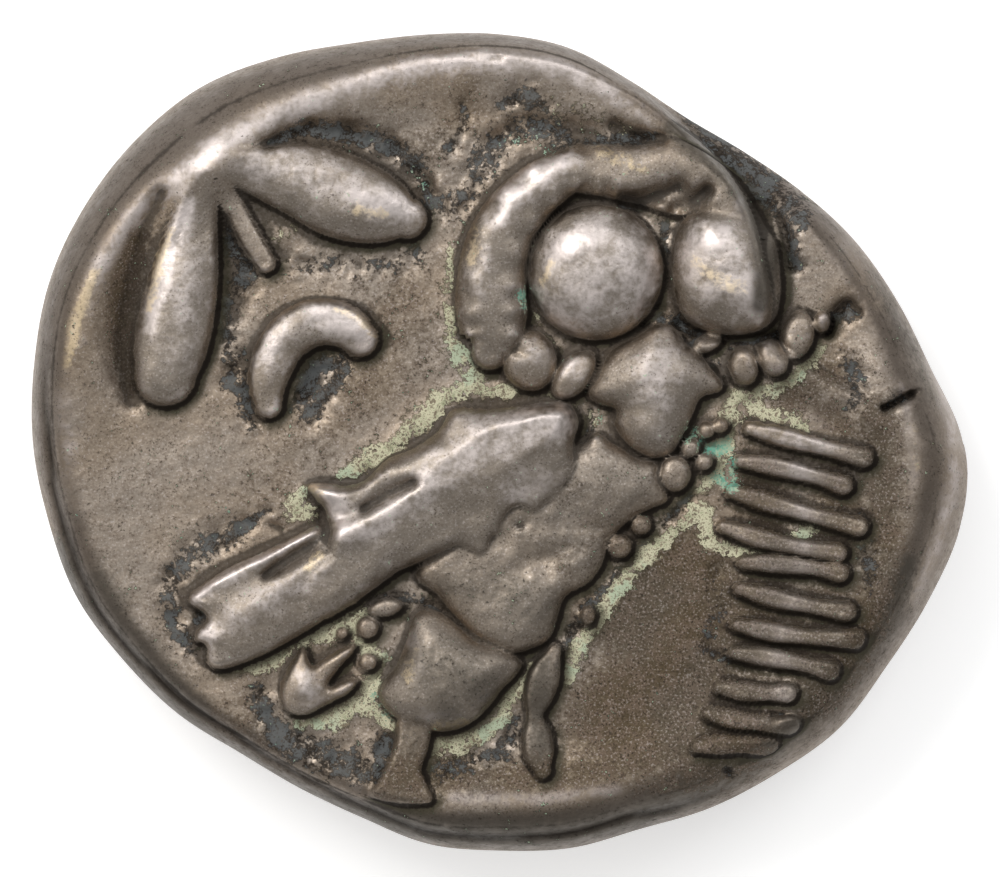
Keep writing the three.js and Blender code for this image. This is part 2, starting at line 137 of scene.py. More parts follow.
# A swell is a soft mound added on top of a figure: middle x, y, half length, half width, turn, rise.
SWELLS = [
    (5.45, 4.5, 1.0, 1.3, 25, 0.2), (6.5, 3.7, 0.6, 0.9, 0, 0.06),
    (-1.3, -6.1, 1.5, 1.0, 15, 0.3), (-2.1, -5.0, 0.4, 0.7, 0, 0.1), (3.9, 1.5, 1.2, 0.8, 0, 0.16),
    (3.9, 0.4, 0.6, 0.6, 0, 0.1), (0.6, -0.1, 1.5, 0.8, 25, 0.22), (-0.9, -1.0, 1.8, 0.7, 35, 0.16),
    (-3.0, -2.4, 1.8, 0.7, 33, 0.1), (-6.2, -4.4, 1.4, 0.6, 33, 0.12), (0.8, -4.0, 1.3, 0.9, 30, 0.12),
    (2.6, -1.2, 1.2, 1.0, 0, 0.1), (-4.9, -6.2, 0.4, 0.5, 0, 0.08), (1.9, 0.2, 0.4, 0.7, 0, -0.12),
    (-1.6, 0.2, 0.5, 0.3, 0, -0.14), (-3.9, -1.9, 0.9, 0.18, 20, -0.1), (1.2, -3.0, 0.9, 0.35, 15, -0.12),
]
# A dome is its middle x, y, half length, half width, turn in degrees and rise.
DOMES = {
    "left_eye": (2.43, 4.33, 1.77, 1.78, 0, 1.0),
    "ruff_lobe_1": (0.74, 2.08, 0.84, 0.74, 118, 0.55),
    "ruff_lobe_2": (1.88, 1.7, 0.77, 0.48, 48, 0.5),
    "ruff_lobe_3": (6.2, 1.92, 0.4, 0.53, 12, 0.42),
    "ruff_lobe_4": (6.95, 2.14, 0.42, 0.53, 18, 0.42),
    "ruff_lobe_5": (7.58, 2.72, 0.46, 0.66, -12, 0.46),
    "ruff_lobe_6": (8.2, 3.05, 0.26, 0.3, 0, 0.35),
    "slot_dot": (5.3, 2.55, 0.45, 0.28, 30, 0.25),
    "breast_dot_1": (4.45, -0.8, 0.45, 0.5, 0, 0.42),
    "breast_dot_2": (4.85, -0.15, 0.27, 0.27, 0, 0.32),
    "breast_dot_3": (3.6, -2.1, 0.29, 0.29, 0, 0.34),
    "breast_dot_4": (3.05, -2.65, 0.34, 0.34, 0, 0.34),
    "breast_dot_5": (0.5, -2.15, 0.33, 0.33, 0, 0.62),
    "breast_dot_6": (5.25, 0.3, 0.24, 0.24, 0, 0.26),
    "breast_dot_7": (5.62, 0.42, 0.22, 0.22, 0, 0.24),
    "breast_dot_8": (5.2, -0.5, 0.25, 0.25, 0, 0.26),
    "breast_dot_9": (2.25, -4.4, 0.22, 0.28, 0, 0.22),
    "shoulder_dot": (2.45, -0.05, 0.26, 0.3, 0, 0.4),
    "field_dot_1": (-4.0, -4.87, 0.17, 0.17, 0, 0.15),
    "field_dot_2": (-3.35, -4.72, 0.31, 0.31, 0, 0.28),
    "field_dot_3": (-3.35, -5.6, 0.26, 0.24, 0, 0.2),
    "lump": (-2.9, -4.2, 0.48, 0.27, 10, 0.24),
}

# A ridge is its rise and its middle line of x, y and half width.
RIDGES = {
    "upper_leaf": (0.78, [(-6.9, 6.95, 0.4), (-6.4, 6.92, 0.62), (-5.8, 6.82, 0.8), (-4.9, 6.6, 1.02),
        (-4.1, 6.28, 1.12), (-3.3, 6.0, 1.02), (-2.7, 5.8, 0.8), (-2.35, 5.68, 0.55)]),
    "left_leaf": (0.72, [(-7.55, 6.7, 0.35), (-7.65, 6.2, 0.54), (-7.78, 5.5, 0.66), (-7.98, 4.4, 0.88),
        (-8.2, 3.3, 1.0), (-8.38, 2.4, 0.98), (-8.5, 1.7, 0.82)]),
    "toe": (0.34, [(1.4, -5.3, 0.2), (1.15, -5.9, 0.44), (0.98, -6.5, 0.4), (0.9, -6.95, 0.24),
        (0.95, -7.4, 0.4), (1.0, -7.9, 0.42), (1.1, -8.35, 0.24)]),
    "stem": (0.38, [(-7.05, 6.5, 0.25), (-6.75, 5.95, 0.32), (-6.35, 5.2, 0.34), (-5.95, 4.55, 0.3)]),
    "crescent": (0.6, [(-5.87, 0.95, 0.38), (-5.9, 1.5, 0.53), (-5.76, 2.05, 0.6), (-5.45, 2.58, 0.63),
        (-4.95, 2.95, 0.64), (-4.4, 3.05, 0.62), (-3.9, 2.92, 0.59), (-3.55, 2.62, 0.5)]),
    "ruff": (0.8, [(3.1, 6.9, 0.2), (2.4, 6.95, 0.4), (1.7, 6.85, 0.6), (0.95, 6.4, 0.72), (0.3, 5.7, 0.8),
        (-0.08, 4.9, 0.87), (-0.22, 4.0, 0.92), (-0.2, 3.25, 0.94), (-0.16, 2.65, 0.8), (-0.25, 2.3, 0.5)]),
}

# A crest is a soft fold on top of a figure, a groove is one cut in: height or depth, and its middle line of
# x, y and half width.
CRESTS = {
    "wing_crest": (0.2, [(1.6, 0.6, 0.4), (0.8, 0.45, 0.5), (-0.2, 0.2, 0.5), (-1.2, -0.45, 0.5),
        (-2.3, -1.25, 0.45), (-3.4, -2.0, 0.45), (-4.2, -2.5, 0.35)]),
    "wing_tip": (0.12, [(-1.4, 0.2, 0.3), (-2.2, -0.5, 0.25), (-3.0, -0.8, 0.22), (-3.8, -1.25, 0.2),
        (-4.4, -1.3, 0.22)]),
    "tail_strip": (0.12, [(-4.7, -2.3, 0.2), (-5.4, -2.65, 0.22), (-6.3, -3.1, 0.24), (-7.2, -3.55, 0.26)]),
    "tail_blade": (0.1, [(-4.6, -3.1, 0.35), (-5.6, -3.7, 0.4), (-6.6, -4.3, 0.4)]),
    "beak_crest": (0.07, [(3.9, 2.8, 0.3), (3.8, 1.6, 0.4), (3.8, 0.2, 0.35)]),
    "ruff_fold": (0.07, [(1.5, 6.9, 0.3), (0.4, 6.1, 0.35), (-0.3, 4.9, 0.35), (-0.5, 3.8, 0.3)]),
}
GROOVES = {
    "tail_groove": (0.3, [(-5.95, -3.38, 0.1), (-5.4, -3.0, 0.2), (-4.75, -2.6, 0.24), (-4.5, -2.35, 0.2)]),
    "wing_groove": (0.26, [(-3.45, -1.68, 0.12), (-2.9, -1.35, 0.2), (-2.2, -1.02, 0.12)]),
    "tip_cut": (0.2, [(-4.55, -1.8, 0.1), (-4.42, -2.3, 0.12), (-4.38, -2.75, 0.08)]),
    "fold_crack": (0.35, [(7.1, 5.8, 0.07), (7.25, 5.3, 0.1), (7.36, 4.8, 0.1), (7.4, 4.4, 0.07)]),
    "fold_pit": (0.35, [(8.4, 2.75, 0.12), (8.55, 3.15, 0.16), (8.85, 3.5, 0.16), (9.1, 3.3, 0.1)]),
    "brow_pit_1": (0.5, [(3.15, 6.2, 0.14), (3.6, 6.15, 0.2), (4.1, 6.3, 0.24), (4.5, 6.45, 0.24)]),
    "brow_pit_2": (0.5, [(4.5, 6.0, 0.24), (4.95, 6.15, 0.26), (5.25, 6.4, 0.16)]),
    "crown_pit_1": (0.2, [(-0.2, 7.6, 0.2), (0.6, 8.1, 0.3), (1.4, 8.0, 0.3), (2.3, 7.9, 0.3)]),
    "crown_pit_2": (0.32, [(2.9, 8.05, 0.18), (3.5, 7.75, 0.24), (4.1, 7.65, 0.16)]),
    "leaf_recess": (0.22, [(-5.9, 7.55, 0.16), (-5.0, 7.9, 0.28), (-4.0, 7.85, 0.3), (-3.0, 7.5, 0.32),
        (-2.2, 6.9, 0.3), (-1.8, 6.3, 0.2)]),
    "left_recess": (0.25, [(-8.6, 6.3, 0.2), (-9.2, 5.0, 0.35), (-9.55, 3.6, 0.42), (-9.65, 2.3, 0.38),
        (-9.4, 1.1, 0.25)]),
    "stem_recess": (0.2, [(-6.95, 5.7, 0.12), (-6.85, 4.9, 0.3), (-6.6, 4.2, 0.36), (-6.8, 3.2, 0.25)]),
    "moon_recess": (0.16, [(-4.9, 1.9, 0.3), (-4.5, 2.05, 0.25), (-5.0, 1.2, 0.25)]),
    "eye_slot": (0.3, [(4.55, 3.0, 0.12), (5.2, 2.75, 0.16), (6.2, 2.62, 0.14), (7.0, 2.7, 0.1)]),
    "beak_edge_left": (0.16, [(3.62, 2.98, 0.08), (3.7, 3.3, 0.16), (3.9, 3.5, 0.2)]),
    "top_scratch_1": (0.08, [(-2.6, 9.95, 0.04), (-1.2, 9.9, 0.06), (0.1, 9.72, 0.04)]),
    "top_scratch_2": (0.05, [(-1.6, 10.15, 0.04), (-0.2, 10.1, 0.05)]),
    "edge_crack": (0.09, [(-10.2, 6.6, 0.05), (-9.9, 6.15, 0.05), (-10.3, 5.65, 0.05), (-10.55, 5.2, 0.05),
        (-10.95, 4.8, 0.05), (-11.4, 4.5, 0.04)]),
    "ring_pit": (0.22, [(0.44, -2.12, 0.12), (0.56, -2.12, 0.12)]),
    "pore_1": (0.22, [(5.8, -8.35, 0.1), (5.95, -8.55, 0.12)]),
    "pore_2": (0.16, [(6.95, -7.0, 0.1), (7.2, -6.95, 0.08)]),
    "pore_3": (0.12, [(-5.85, -2.1, 0.1), (-5.6, -2.2, 0.1)]),
}
# Small scallops along the ruff: height, distance from its middle line, width, waves per stretch of the line.
SCALLOPS = (0.07, 0.62, 0.3, 1.3)
# Where the breast is mottled: middle x, y, half length, half width, turn.
MOTTLED = (1.6, -2.8, 2.2, 1.8, 0)
# Where the sprig's roots run out into the rim: middle x, y, half length, half width, turn, rise.
ROOT = (-7.2, 6.85, 1.35, 0.85, 40, 0.6)
# The lip that the strike folded over runs as a crease inside the outline, between these angles.
LIP = {"inside": 0.4, "width": 0.1, "depth": 0.2}
LIP_SPAN = (math.radians(172), math.radians(300), 0.35)
# A painted highlight along the rim's crest between these angles, on the side toward the key light: how
# strongly, where across the rim, how wide.
CREST_HIGHLIGHT_SPAN = (math.radians(66), math.radians(160), 0.5)
CREST_HIGHLIGHT = {"strength": 0.85, "across": 1.05, "width": 0.38}
# A struck nick in the east rim: middle x, y, turn, half length, half width, depth of its slot and its bevel.
NICK = (10.17, 0.98, 27, 0.48, 0.16, 0.5, 0.12)

# ---- The legend's place: rows of plain strokes down the east rim ----
STROKE_HALF_WIDTH = 0.26
STROKE_TRIM, STROKE_BEND, STROKE_TILT = 0.12, 0.1, 0.14  # how much length, bow and slant vary
STROKE_WIDTHS = ((0.0, 0.75), (0.3, 1.1), (0.65, 0.88))  # places along a stroke and its width there
STROKE_END_WIDTH = 1.12
STROKE_ROWS = [  # first stroke's inner end, its run, the step to the next, how many, rise
    ((6.35, 0.35), (2.9, -0.75), (-0.22, -0.82), 4, 0.42),
    ((6.2, -3.0), (2.7, -0.45), (-0.08, -0.8), 4, 0.4),
    ((5.6, -6.2), (1.9, -0.2), (-0.3, -0.74), 3, 0.3),
]

# ---- The underside, seen from below with +X to the right: a helmeted head in plain profile ----
BACK_PLATES = {
    "face": (0.5, 0.7, [(4.7, 3.4), (4.75, 2.5), (4.9, 1.7), (5.35, 0.5), (6.0, -0.7), (5.2, -1.2),
        (5.5, -1.7), (5.15, -2.0), (5.4, -2.3), (4.9, -2.7), (5.1, -3.2), (4.9, -3.8), (4.2, -4.3),
        (2.8, -4.5), (1.6, -4.3), (0.0, -3.4), (-1.2, -2.4), (-1.6, 1.5), (1.6, 3.2)]),
}
BACK_DOMES = {
    "helmet_bowl": (-1.3, 4.2, 5.3, 3.6, 12, 1.0),
    "cheek": (2.0, -0.9, 3.0, 3.5, 15, 0.95),
    "chin": (3.9, -3.2, 1.15, 0.95, 0, 0.66),
    "ear_stud": (0.0, -1.5, 0.45, 0.45, 0, 0.98),
}
BACK_RIDGES = {
    "crest": (0.55, [(4.4, 7.2, 0.5), (1.0, 8.3, 0.7), (-3.0, 7.6, 0.8), (-6.4, 4.9, 0.85),
        (-8.3, 1.0, 0.85), (-8.6, -3.6, 0.7)]),
    "helmet_edge": (0.93, [(4.4, 3.6, 0.35), (1.8, 2.9, 0.42), (-1.4, 1.4, 0.45), (-2.9, -0.9, 0.4)]),
    "neck_guard": (0.78, [(-2.7, -0.2, 0.7), (-3.9, -2.6, 0.9), (-4.9, -5.2, 0.8)]),
    "neck": (0.66, [(0.4, -2.5, 2.0), (-0.4, -5.0, 1.9), (-1.0, -8.0, 2.5)]),
    "hair": (0.84, [(4.5, 2.75, 0.3), (2.6, 2.2, 0.5), (0.9, 1.2, 0.55), (0.1, 0.0, 0.5)]),
    "brow_line": (0.8, [(4.75, 1.9, 0.2), (4.0, 1.75, 0.28), (3.1, 1.45, 0.2)]),
    "eye": (0.8, [(4.5, 0.95, 0.18), (3.9, 0.95, 0.26), (3.2, 0.75, 0.15)]),
    "nose": (0.62, [(4.7, 2.1, 0.3), (5.1, 0.9, 0.38), (5.5, -0.35, 0.5)]),
    "upper_lip": (0.62, [(5.35, -1.35, 0.26), (4.9, -1.4, 0.28), (4.2, -1.6, 0.15)]),
    "lower_lip": (0.6, [(5.2, -2.1, 0.26), (4.8, -2.0, 0.28), (4.2, -1.85, 0.15)]),
    "leaf_1": (1.12, [(2.6, 3.5, 0.2), (2.3, 4.4, 0.36), (2.3, 5.3, 0.14)]),
    "leaf_2": (1.12, [(1.1, 2.95, 0.2), (0.8, 3.85, 0.36), (0.8, 4.75, 0.14)]),
    "leaf_3": (1.12, [(-0.4, 2.4, 0.2), (-0.7, 3.3, 0.36), (-0.7, 4.2, 0.14)]),
}

# ---- Where earth, corrosion, toning and wear show, and where highlight and shade are painted: a strength, then a line of x, y and reach ----
# Pale salts and earth.
PALE_GREEN = [
    (1.0, [(0.3, 1.3, 0.2), (-0.5, 1.35, 0.22), (-1.2, 1.25, 0.26), (-1.9, 0.6, 0.3), (-2.6, 0.05, 0.26),
        (-3.3, -0.5, 0.24), (-4.0, -0.85, 0.14)]),
    (0.9, [(-1.25, 4.9, 0.1), (-1.3, 4.0, 0.18), (-1.25, 3.1, 0.2), (-1.15, 2.4, 0.28), (-0.6, 1.7, 0.34)]),
    (1.0, [(-5.0, -1.2, 0.1), (-5.2, -1.7, 0.3), (-4.8, -1.8, 0.24)]),
    (1.0, [(-6.7, -5.75, 0.12), (-5.9, -5.6, 0.24), (-5.0, -5.0, 0.26), (-4.2, -4.75, 0.34),
        (-3.5, -4.5, 0.34)]),
    (1.0, [(-3.7, -4.6, 0.4), (-3.4, -5.2, 0.38), (-3.2, -5.9, 0.3), (-3.4, -6.6, 0.22)]),
    (1.0, [(-5.1, -7.15, 0.14), (-4.3, -7.05, 0.28), (-3.5, -6.7, 0.3), (-3.1, -6.9, 0.28),
        (-2.6, -7.3, 0.14)]),
    (0.95, [(-1.7, -7.75, 0.26), (-0.9, -7.65, 0.3), (-0.2, -7.25, 0.24), (0.3, -6.5, 0.24),
        (0.8, -5.75, 0.18)]),
    (1.0, [(1.75, -6.0, 0.18), (2.0, -5.2, 0.24), (2.5, -4.5, 0.2), (3.1, -3.6, 0.24), (3.9, -2.75, 0.26),
        (4.7, -2.05, 0.22), (5.1, -1.75, 0.3), (5.3, -2.3, 0.18)]),
    (0.9, [(5.1, -1.2, 0.2), (5.6, -0.6, 0.24), (5.8, 0.3, 0.3), (6.0, 1.1, 0.28), (6.8, 0.75, 0.2),
        (7.8, 0.4, 0.2)]),
    (0.85, [(5.2, -2.4, 0.2), (6.0, -2.75, 0.24), (7.2, -2.5, 0.2), (8.3, -1.9, 0.26)]),
    (0.9, [(6.0, 1.2, 0.24), (6.9, 1.35, 0.24), (7.7, 1.9, 0.26), (8.2, 2.4, 0.16)]),
    (0.6, [(1.1, 1.3, 0.18), (2.3, 0.7, 0.24), (2.5, 0.2, 0.2)]),
    (0.55, [(0.6, 3.1, 0.2), (0.5, 3.8, 0.14), (1.4, 2.5, 0.2)]),
    (0.6, [(-5.8, 5.1, 0.1), (-5.2, 5.45, 0.2), (-4.7, 5.35, 0.14)]),
    (0.5, [(1.3, 8.6, 0.3), (2.4, 8.25, 0.3), (3.2, 8.0, 0.24)]),
    (0.45, [(6.9, -4.2, 0.2), (6.6, -3.6, 0.16)]),
]
# Spots of copper green.
TURQUOISE = [
    (1.0, [(5.2, -0.1, 0.2), (5.6, -0.15, 0.24), (5.75, 0.1, 0.1)]),
    (0.8, [(5.55, -0.9, 0.18), (5.9, -1.15, 0.22), (5.9, -0.5, 0.14)]),
    (0.7, [(4.9, 0.3, 0.16), (4.75, 0.0, 0.12)]),
    (0.7, [(0.55, 3.75, 0.14), (0.6, 3.4, 0.1)]),
    (0.5, [(-1.9, 6.55, 0.2), (-2.2, 6.9, 0.14)]),
    (0.5, [(2.55, 0.75, 0.14), (2.6, 0.35, 0.12)]),
    (0.45, [(-3.25, -6.5, 0.2), (-2.9, -6.9, 0.2)]),
    (0.35, [(0.4, 7.7, 0.3), (1.2, 7.4, 0.2)]),
]
# Dark corrosion that has eaten a little into the ground, and painted shadow under the upper leaf and in the
# fold's valley, carved a little like the rest.
BLUE_BLACK = [
    (1.0, [(-5.85, 7.55, 0.14), (-5.0, 7.92, 0.24), (-4.0, 7.9, 0.24), (-3.0, 7.62, 0.26),
        (-2.2, 7.1, 0.26), (-1.85, 6.4, 0.2)]),
    (0.75, [(-1.9, 6.0, 0.3), (-1.1, 6.1, 0.4), (-0.6, 6.9, 0.45), (0.1, 7.7, 0.5), (1.0, 8.0, 0.5),
        (1.8, 7.6, 0.35)]),
    (1.0, [(0.0, 8.6, 0.12), (0.7, 8.75, 0.3), (1.1, 8.5, 0.24)]),
    (0.8, [(-0.95, 8.6, 0.1), (-0.9, 8.1, 0.14), (-1.3, 7.5, 0.2)]),
    (1.0, [(2.2, 7.55, 0.14), (3.0, 7.7, 0.2), (3.9, 7.68, 0.2)]),
    (1.0, [(3.1, 6.0, 0.14), (3.7, 6.05, 0.2), (4.3, 6.4, 0.2), (5.0, 6.25, 0.28)]),
    (0.9, [(-6.95, 5.8, 0.08), (-6.85, 4.9, 0.28), (-6.5, 4.3, 0.34), (-7.0, 3.4, 0.25), (-6.9, 2.4, 0.25),
        (-6.8, 1.5, 0.3)]),
    # Painted shadow under the upper leaf.
    (0.6, [(-5.6, 4.6, 0.3), (-4.0, 4.5, 0.3), (-2.6, 4.6, 0.35), (-2.0, 5.0, 0.3)]),
    (0.8, [(-6.6, 2.2, 0.2), (-6.5, 1.2, 0.3), (-6.3, 0.4, 0.2)]),
    (1.0, [(-5.3, 0.9, 0.16), (-5.0, 1.3, 0.3), (-4.6, 1.9, 0.3), (-3.9, 1.95, 0.2), (-4.8, 0.7, 0.25)]),
    (0.9, [(-5.9, -1.7, 0.1), (-6.9, -2.4, 0.28), (-7.9, -2.9, 0.28), (-8.4, -3.7, 0.26),
        (-8.3, -4.6, 0.24), (-7.9, -5.3, 0.2)]),
    (1.0, [(-7.55, -4.4, 0.14), (-7.7, -4.6, 0.12)]),
    (1.0, [(-6.1, -6.4, 0.25), (-5.8, -7.2, 0.34), (-4.9, -7.85, 0.4), (-3.9, -8.2, 0.45),
        (-3.1, -8.3, 0.3), (-3.0, -7.6, 0.25)]),
    (0.75, [(-1.5, -8.4, 0.3), (-0.7, -8.1, 0.35), (0.2, -7.7, 0.4), (0.4, -7.0, 0.2)]),
    (1.0, [(4.5, 3.1, 0.2), (5.0, 2.75, 0.2), (6.0, 2.6, 0.16), (7.0, 2.72, 0.14)]),
    (0.9, [(3.85, 3.35, 0.2), (4.1, 3.15, 0.24)]),
    (0.9, [(4.7, 2.5, 0.25), (5.4, 2.2, 0.3), (5.8, 2.4, 0.15)]),
    (1.0, [(8.3, 2.8, 0.12), (8.4, 3.05, 0.2), (8.85, 3.3, 0.26)]),
    (1.0, [(7.3, 5.5, 0.12), (7.42, 5.0, 0.2), (7.55, 4.5, 0.16)]),
    (0.85, [(7.6, 2.1, 0.1), (8.1, 2.6, 0.14)]),
    (0.7, [(8.6, 2.2, 0.2), (9.1, 1.6, 0.26), (8.9, 0.9, 0.2)]),
    (0.7, [(9.2, -2.0, 0.24), (9.4, -2.9, 0.3), (9.35, -3.8, 0.15)]),
    (0.6, [(5.5, -3.2, 0.2), (5.6, -4.2, 0.26), (5.3, -5.3, 0.2), (6.6, -5.65, 0.2), (8.2, -5.7, 0.12)]),
    (0.9, [(1.5, -5.6, 0.14), (1.9, -4.75, 0.2), (2.6, -3.85, 0.2), (3.3, -3.0, 0.18), (4.2, -2.05, 0.18),
        (4.75, -1.4, 0.16), (5.3, -0.7, 0.14)]),
    (0.8, [(2.3, 0.8, 0.14), (2.35, 0.3, 0.2), (2.2, -0.4, 0.12)]),
    (0.9, [(-2.9, -4.0, 0.16), (-2.2, -4.0, 0.14), (-1.6, -4.3, 0.16), (-1.0, -4.9, 0.12)]),
    (0.8, [(-5.9, -3.38, 0.06), (-5.3, -2.95, 0.12), (-4.55, -2.4, 0.16)]),
    (0.7, [(-3.4, -1.65, 0.08), (-2.9, -1.35, 0.12), (-2.3, -1.05, 0.08)]),
    # Painted shadow in the fold's valley.
    (0.95, [(4.5, 8.75, 0.2), (5.4, 7.95, 0.4), (6.3, 7.1, 0.5), (7.1, 6.3, 0.5), (7.7, 5.7, 0.3)]),
    (0.9, [(4.2, 5.6, 0.14), (4.2, 5.0, 0.14), (4.25, 4.6, 0.1)]),
    (0.7, [(10.1, 1.1, 0.3), (9.85, 0.85, 0.1)]),
    (0.8, [(5.75, -8.3, 0.1), (5.95, -8.5, 0.14)]),
    (0.9, [(6.95, -7.0, 0.12), (7.25, -6.95, 0.06)]),
]
# Dark grey toning, and painted shade over the owl's breast and legs, round the lower and right rim and along
# the fold's edge, the parts turned away from the key light.
DUSK_AND_SHADE = [
    (0.6, [(-0.6, -6.2, 0.9), (-1.8, -5.6, 0.7), (-1.2, -7.0, 0.5)]),
    (0.5, [(1.4, -4.4, 0.8), (0.2, -3.9, 0.8), (-1.2, -3.6, 0.5)]),
    (0.6, [(-2.3, -7.6, 0.6), (-2.5, -9.0, 0.7)]),
    (0.8, [(0.95, -5.6, 0.5), (1.0, -7.0, 0.5), (1.05, -8.3, 0.4)]),
    (1.0, [(4.4, 7.95, 0.25), (5.5, 7.2, 0.35), (6.25, 6.3, 0.35), (6.65, 5.4, 0.3), (6.8, 4.4, 0.3),
        (6.6, 3.5, 0.2)]),
    (0.4, [(3.2, -1.2, 0.9), (1.6, -2.8, 0.9)]),
    (0.9, [(-11.3, -2.8, 0.35), (-10.6, -4.6, 0.4), (-9.6, -5.9, 0.45), (-8.4, -7.0, 0.45),
        (-6.9, -8.0, 0.4), (-5.4, -8.8, 0.35), (-3.7, -9.5, 0.4), (-1.7, -9.85, 0.4), (0.6, -9.95, 0.45),
        (2.6, -9.75, 0.45), (4.6, -9.1, 0.45), (6.3, -8.2, 0.4), (7.6, -7.2, 0.4), (8.8, -5.9, 0.4),
        (9.9, -4.4, 0.35), (10.4, -3.1, 0.25)]),
    (0.5, [(10.9, 1.2, 0.25), (10.5, 2.3, 0.3), (9.6, 4.2, 0.3)]),
    (0.5, [(9.4, -0.2, 0.5), (9.6, -2.0, 0.5), (9.0, -4.0, 0.5), (8.4, -5.6, 0.5)]),
    (0.6, [(-10.2, -3.4, 0.4), (-9.2, -5.2, 0.5), (-7.6, -6.8, 0.5)]),
]
# Thin golden toning, and painted golden glints on edges where the highlights fall.
GOLDEN_TONE_AND_GLINTS = [
    (1.0, [(-8.3, 5.4, 0.1), (-8.62, 4.7, 0.16), (-8.78, 4.1, 0.16), (-8.9, 3.4, 0.1)]),
    (1.0, [(-10.3, 4.3, 0.14), (-10.75, 3.2, 0.2), (-11.0, 2.0, 0.14)]),
    (0.9, [(-4.2, 3.4, 0.1), (-3.6, 3.15, 0.16), (-3.15, 2.7, 0.1)]),
    (0.8, [(-3.6, 5.9, 0.16), (-2.9, 5.75, 0.14)]),
    (0.8, [(1.1, 4.1, 0.14), (1.3, 4.5, 0.16)]),
    (0.8, [(5.0, 4.6, 0.2), (5.5, 4.1, 0.24), (6.1, 3.9, 0.2)]),
    (0.8, [(-4.9, -1.1, 0.12), (-4.5, -1.25, 0.16)]),
    (0.7, [(-4.6, -2.9, 0.2), (-4.9, -3.2, 0.14)]),
    (0.7, [(-2.2, -5.3, 0.16), (-2.3, -6.0, 0.2)]),
    (0.7, [(-0.6, 5.4, 0.2), (-0.7, 4.6, 0.2)]),
    (0.7, [(-1.6, -7.2, 0.16), (-0.9, -7.1, 0.16)]),
    (0.6, [(2.6, 7.4, 0.3), (3.6, 7.0, 0.2)]),
    (0.6, [(-5.4, -8.2, 0.2), (-4.4, -8.6, 0.2)]),
    (0.6, [(10.5, 0.4, 0.16), (10.6, -0.6, 0.16)]),
]
# Brown and olive earth; the broad marks over the lower right also paint the shade that deepens away from the
# key light at the upper left.
OLIVE = [
    (0.9, [(-9.2, 5.2, 0.3), (-9.5, 4.0, 0.45), (-9.6, 2.8, 0.4), (-9.4, 1.5, 0.3)]),
    (0.95, [(3.4, -4.6, 1.3), (4.6, -3.4, 1.5), (5.4, -5.2, 1.6), (3.0, -7.0, 1.4), (5.4, -7.4, 1.3)]),
    (0.75, [(8.6, -1.0, 0.8), (8.4, -3.2, 0.9), (7.6, -5.7, 1.0)]),
    (0.7, [(7.4, 1.2, 0.8), (8.6, 1.8, 0.7)]),
    (0.6, [(8.2, 1.2, 0.7), (8.9, 0.2, 0.5)]),
    (0.55, [(-2.2, 7.4, 0.6), (-1.2, 7.9, 0.6), (-0.8, 9.0, 0.4)]),
    (0.45, [(-3.4, 4.0, 0.5), (-2.2, 3.4, 0.6), (-2.4, 2.0, 0.6), (-3.4, 0.9, 0.5), (-5.0, -0.2, 0.5)]),
    (0.6, [(4.8, 8.2, 0.3), (5.9, 7.3, 0.35), (7.0, 6.2, 0.3)]),
    (0.5, [(1.0, -1.0, 0.5), (2.6, -1.6, 0.6), (1.6, -3.2, 0.5)]),
    (0.8, [(9.6, 0.6, 0.7), (9.8, -2.0, 0.6), (9.2, -4.6, 0.6), (8.0, -6.6, 0.6)]),
    (0.8, [(6.6, -1.0, 0.8), (7.0, -3.0, 0.8), (6.4, -5.0, 0.9), (6.4, -7.0, 0.8)]),
    (0.75, [(-2.6, -8.4, 0.7), (0.6, -8.5, 0.6), (3.2, -8.2, 0.6), (5.2, -7.8, 0.5)]),
    (0.55, [(-6.6, -7.0, 0.8), (-4.6, -8.2, 0.6)]),
    (0.5, [(-2.0, 2.8, 0.9), (-3.6, 1.2, 0.9), (-2.6, 4.2, 0.8)]),
    (0.4, [(-6.0, -1.2, 0.9), (-4.6, 0.0, 0.8)]),
]
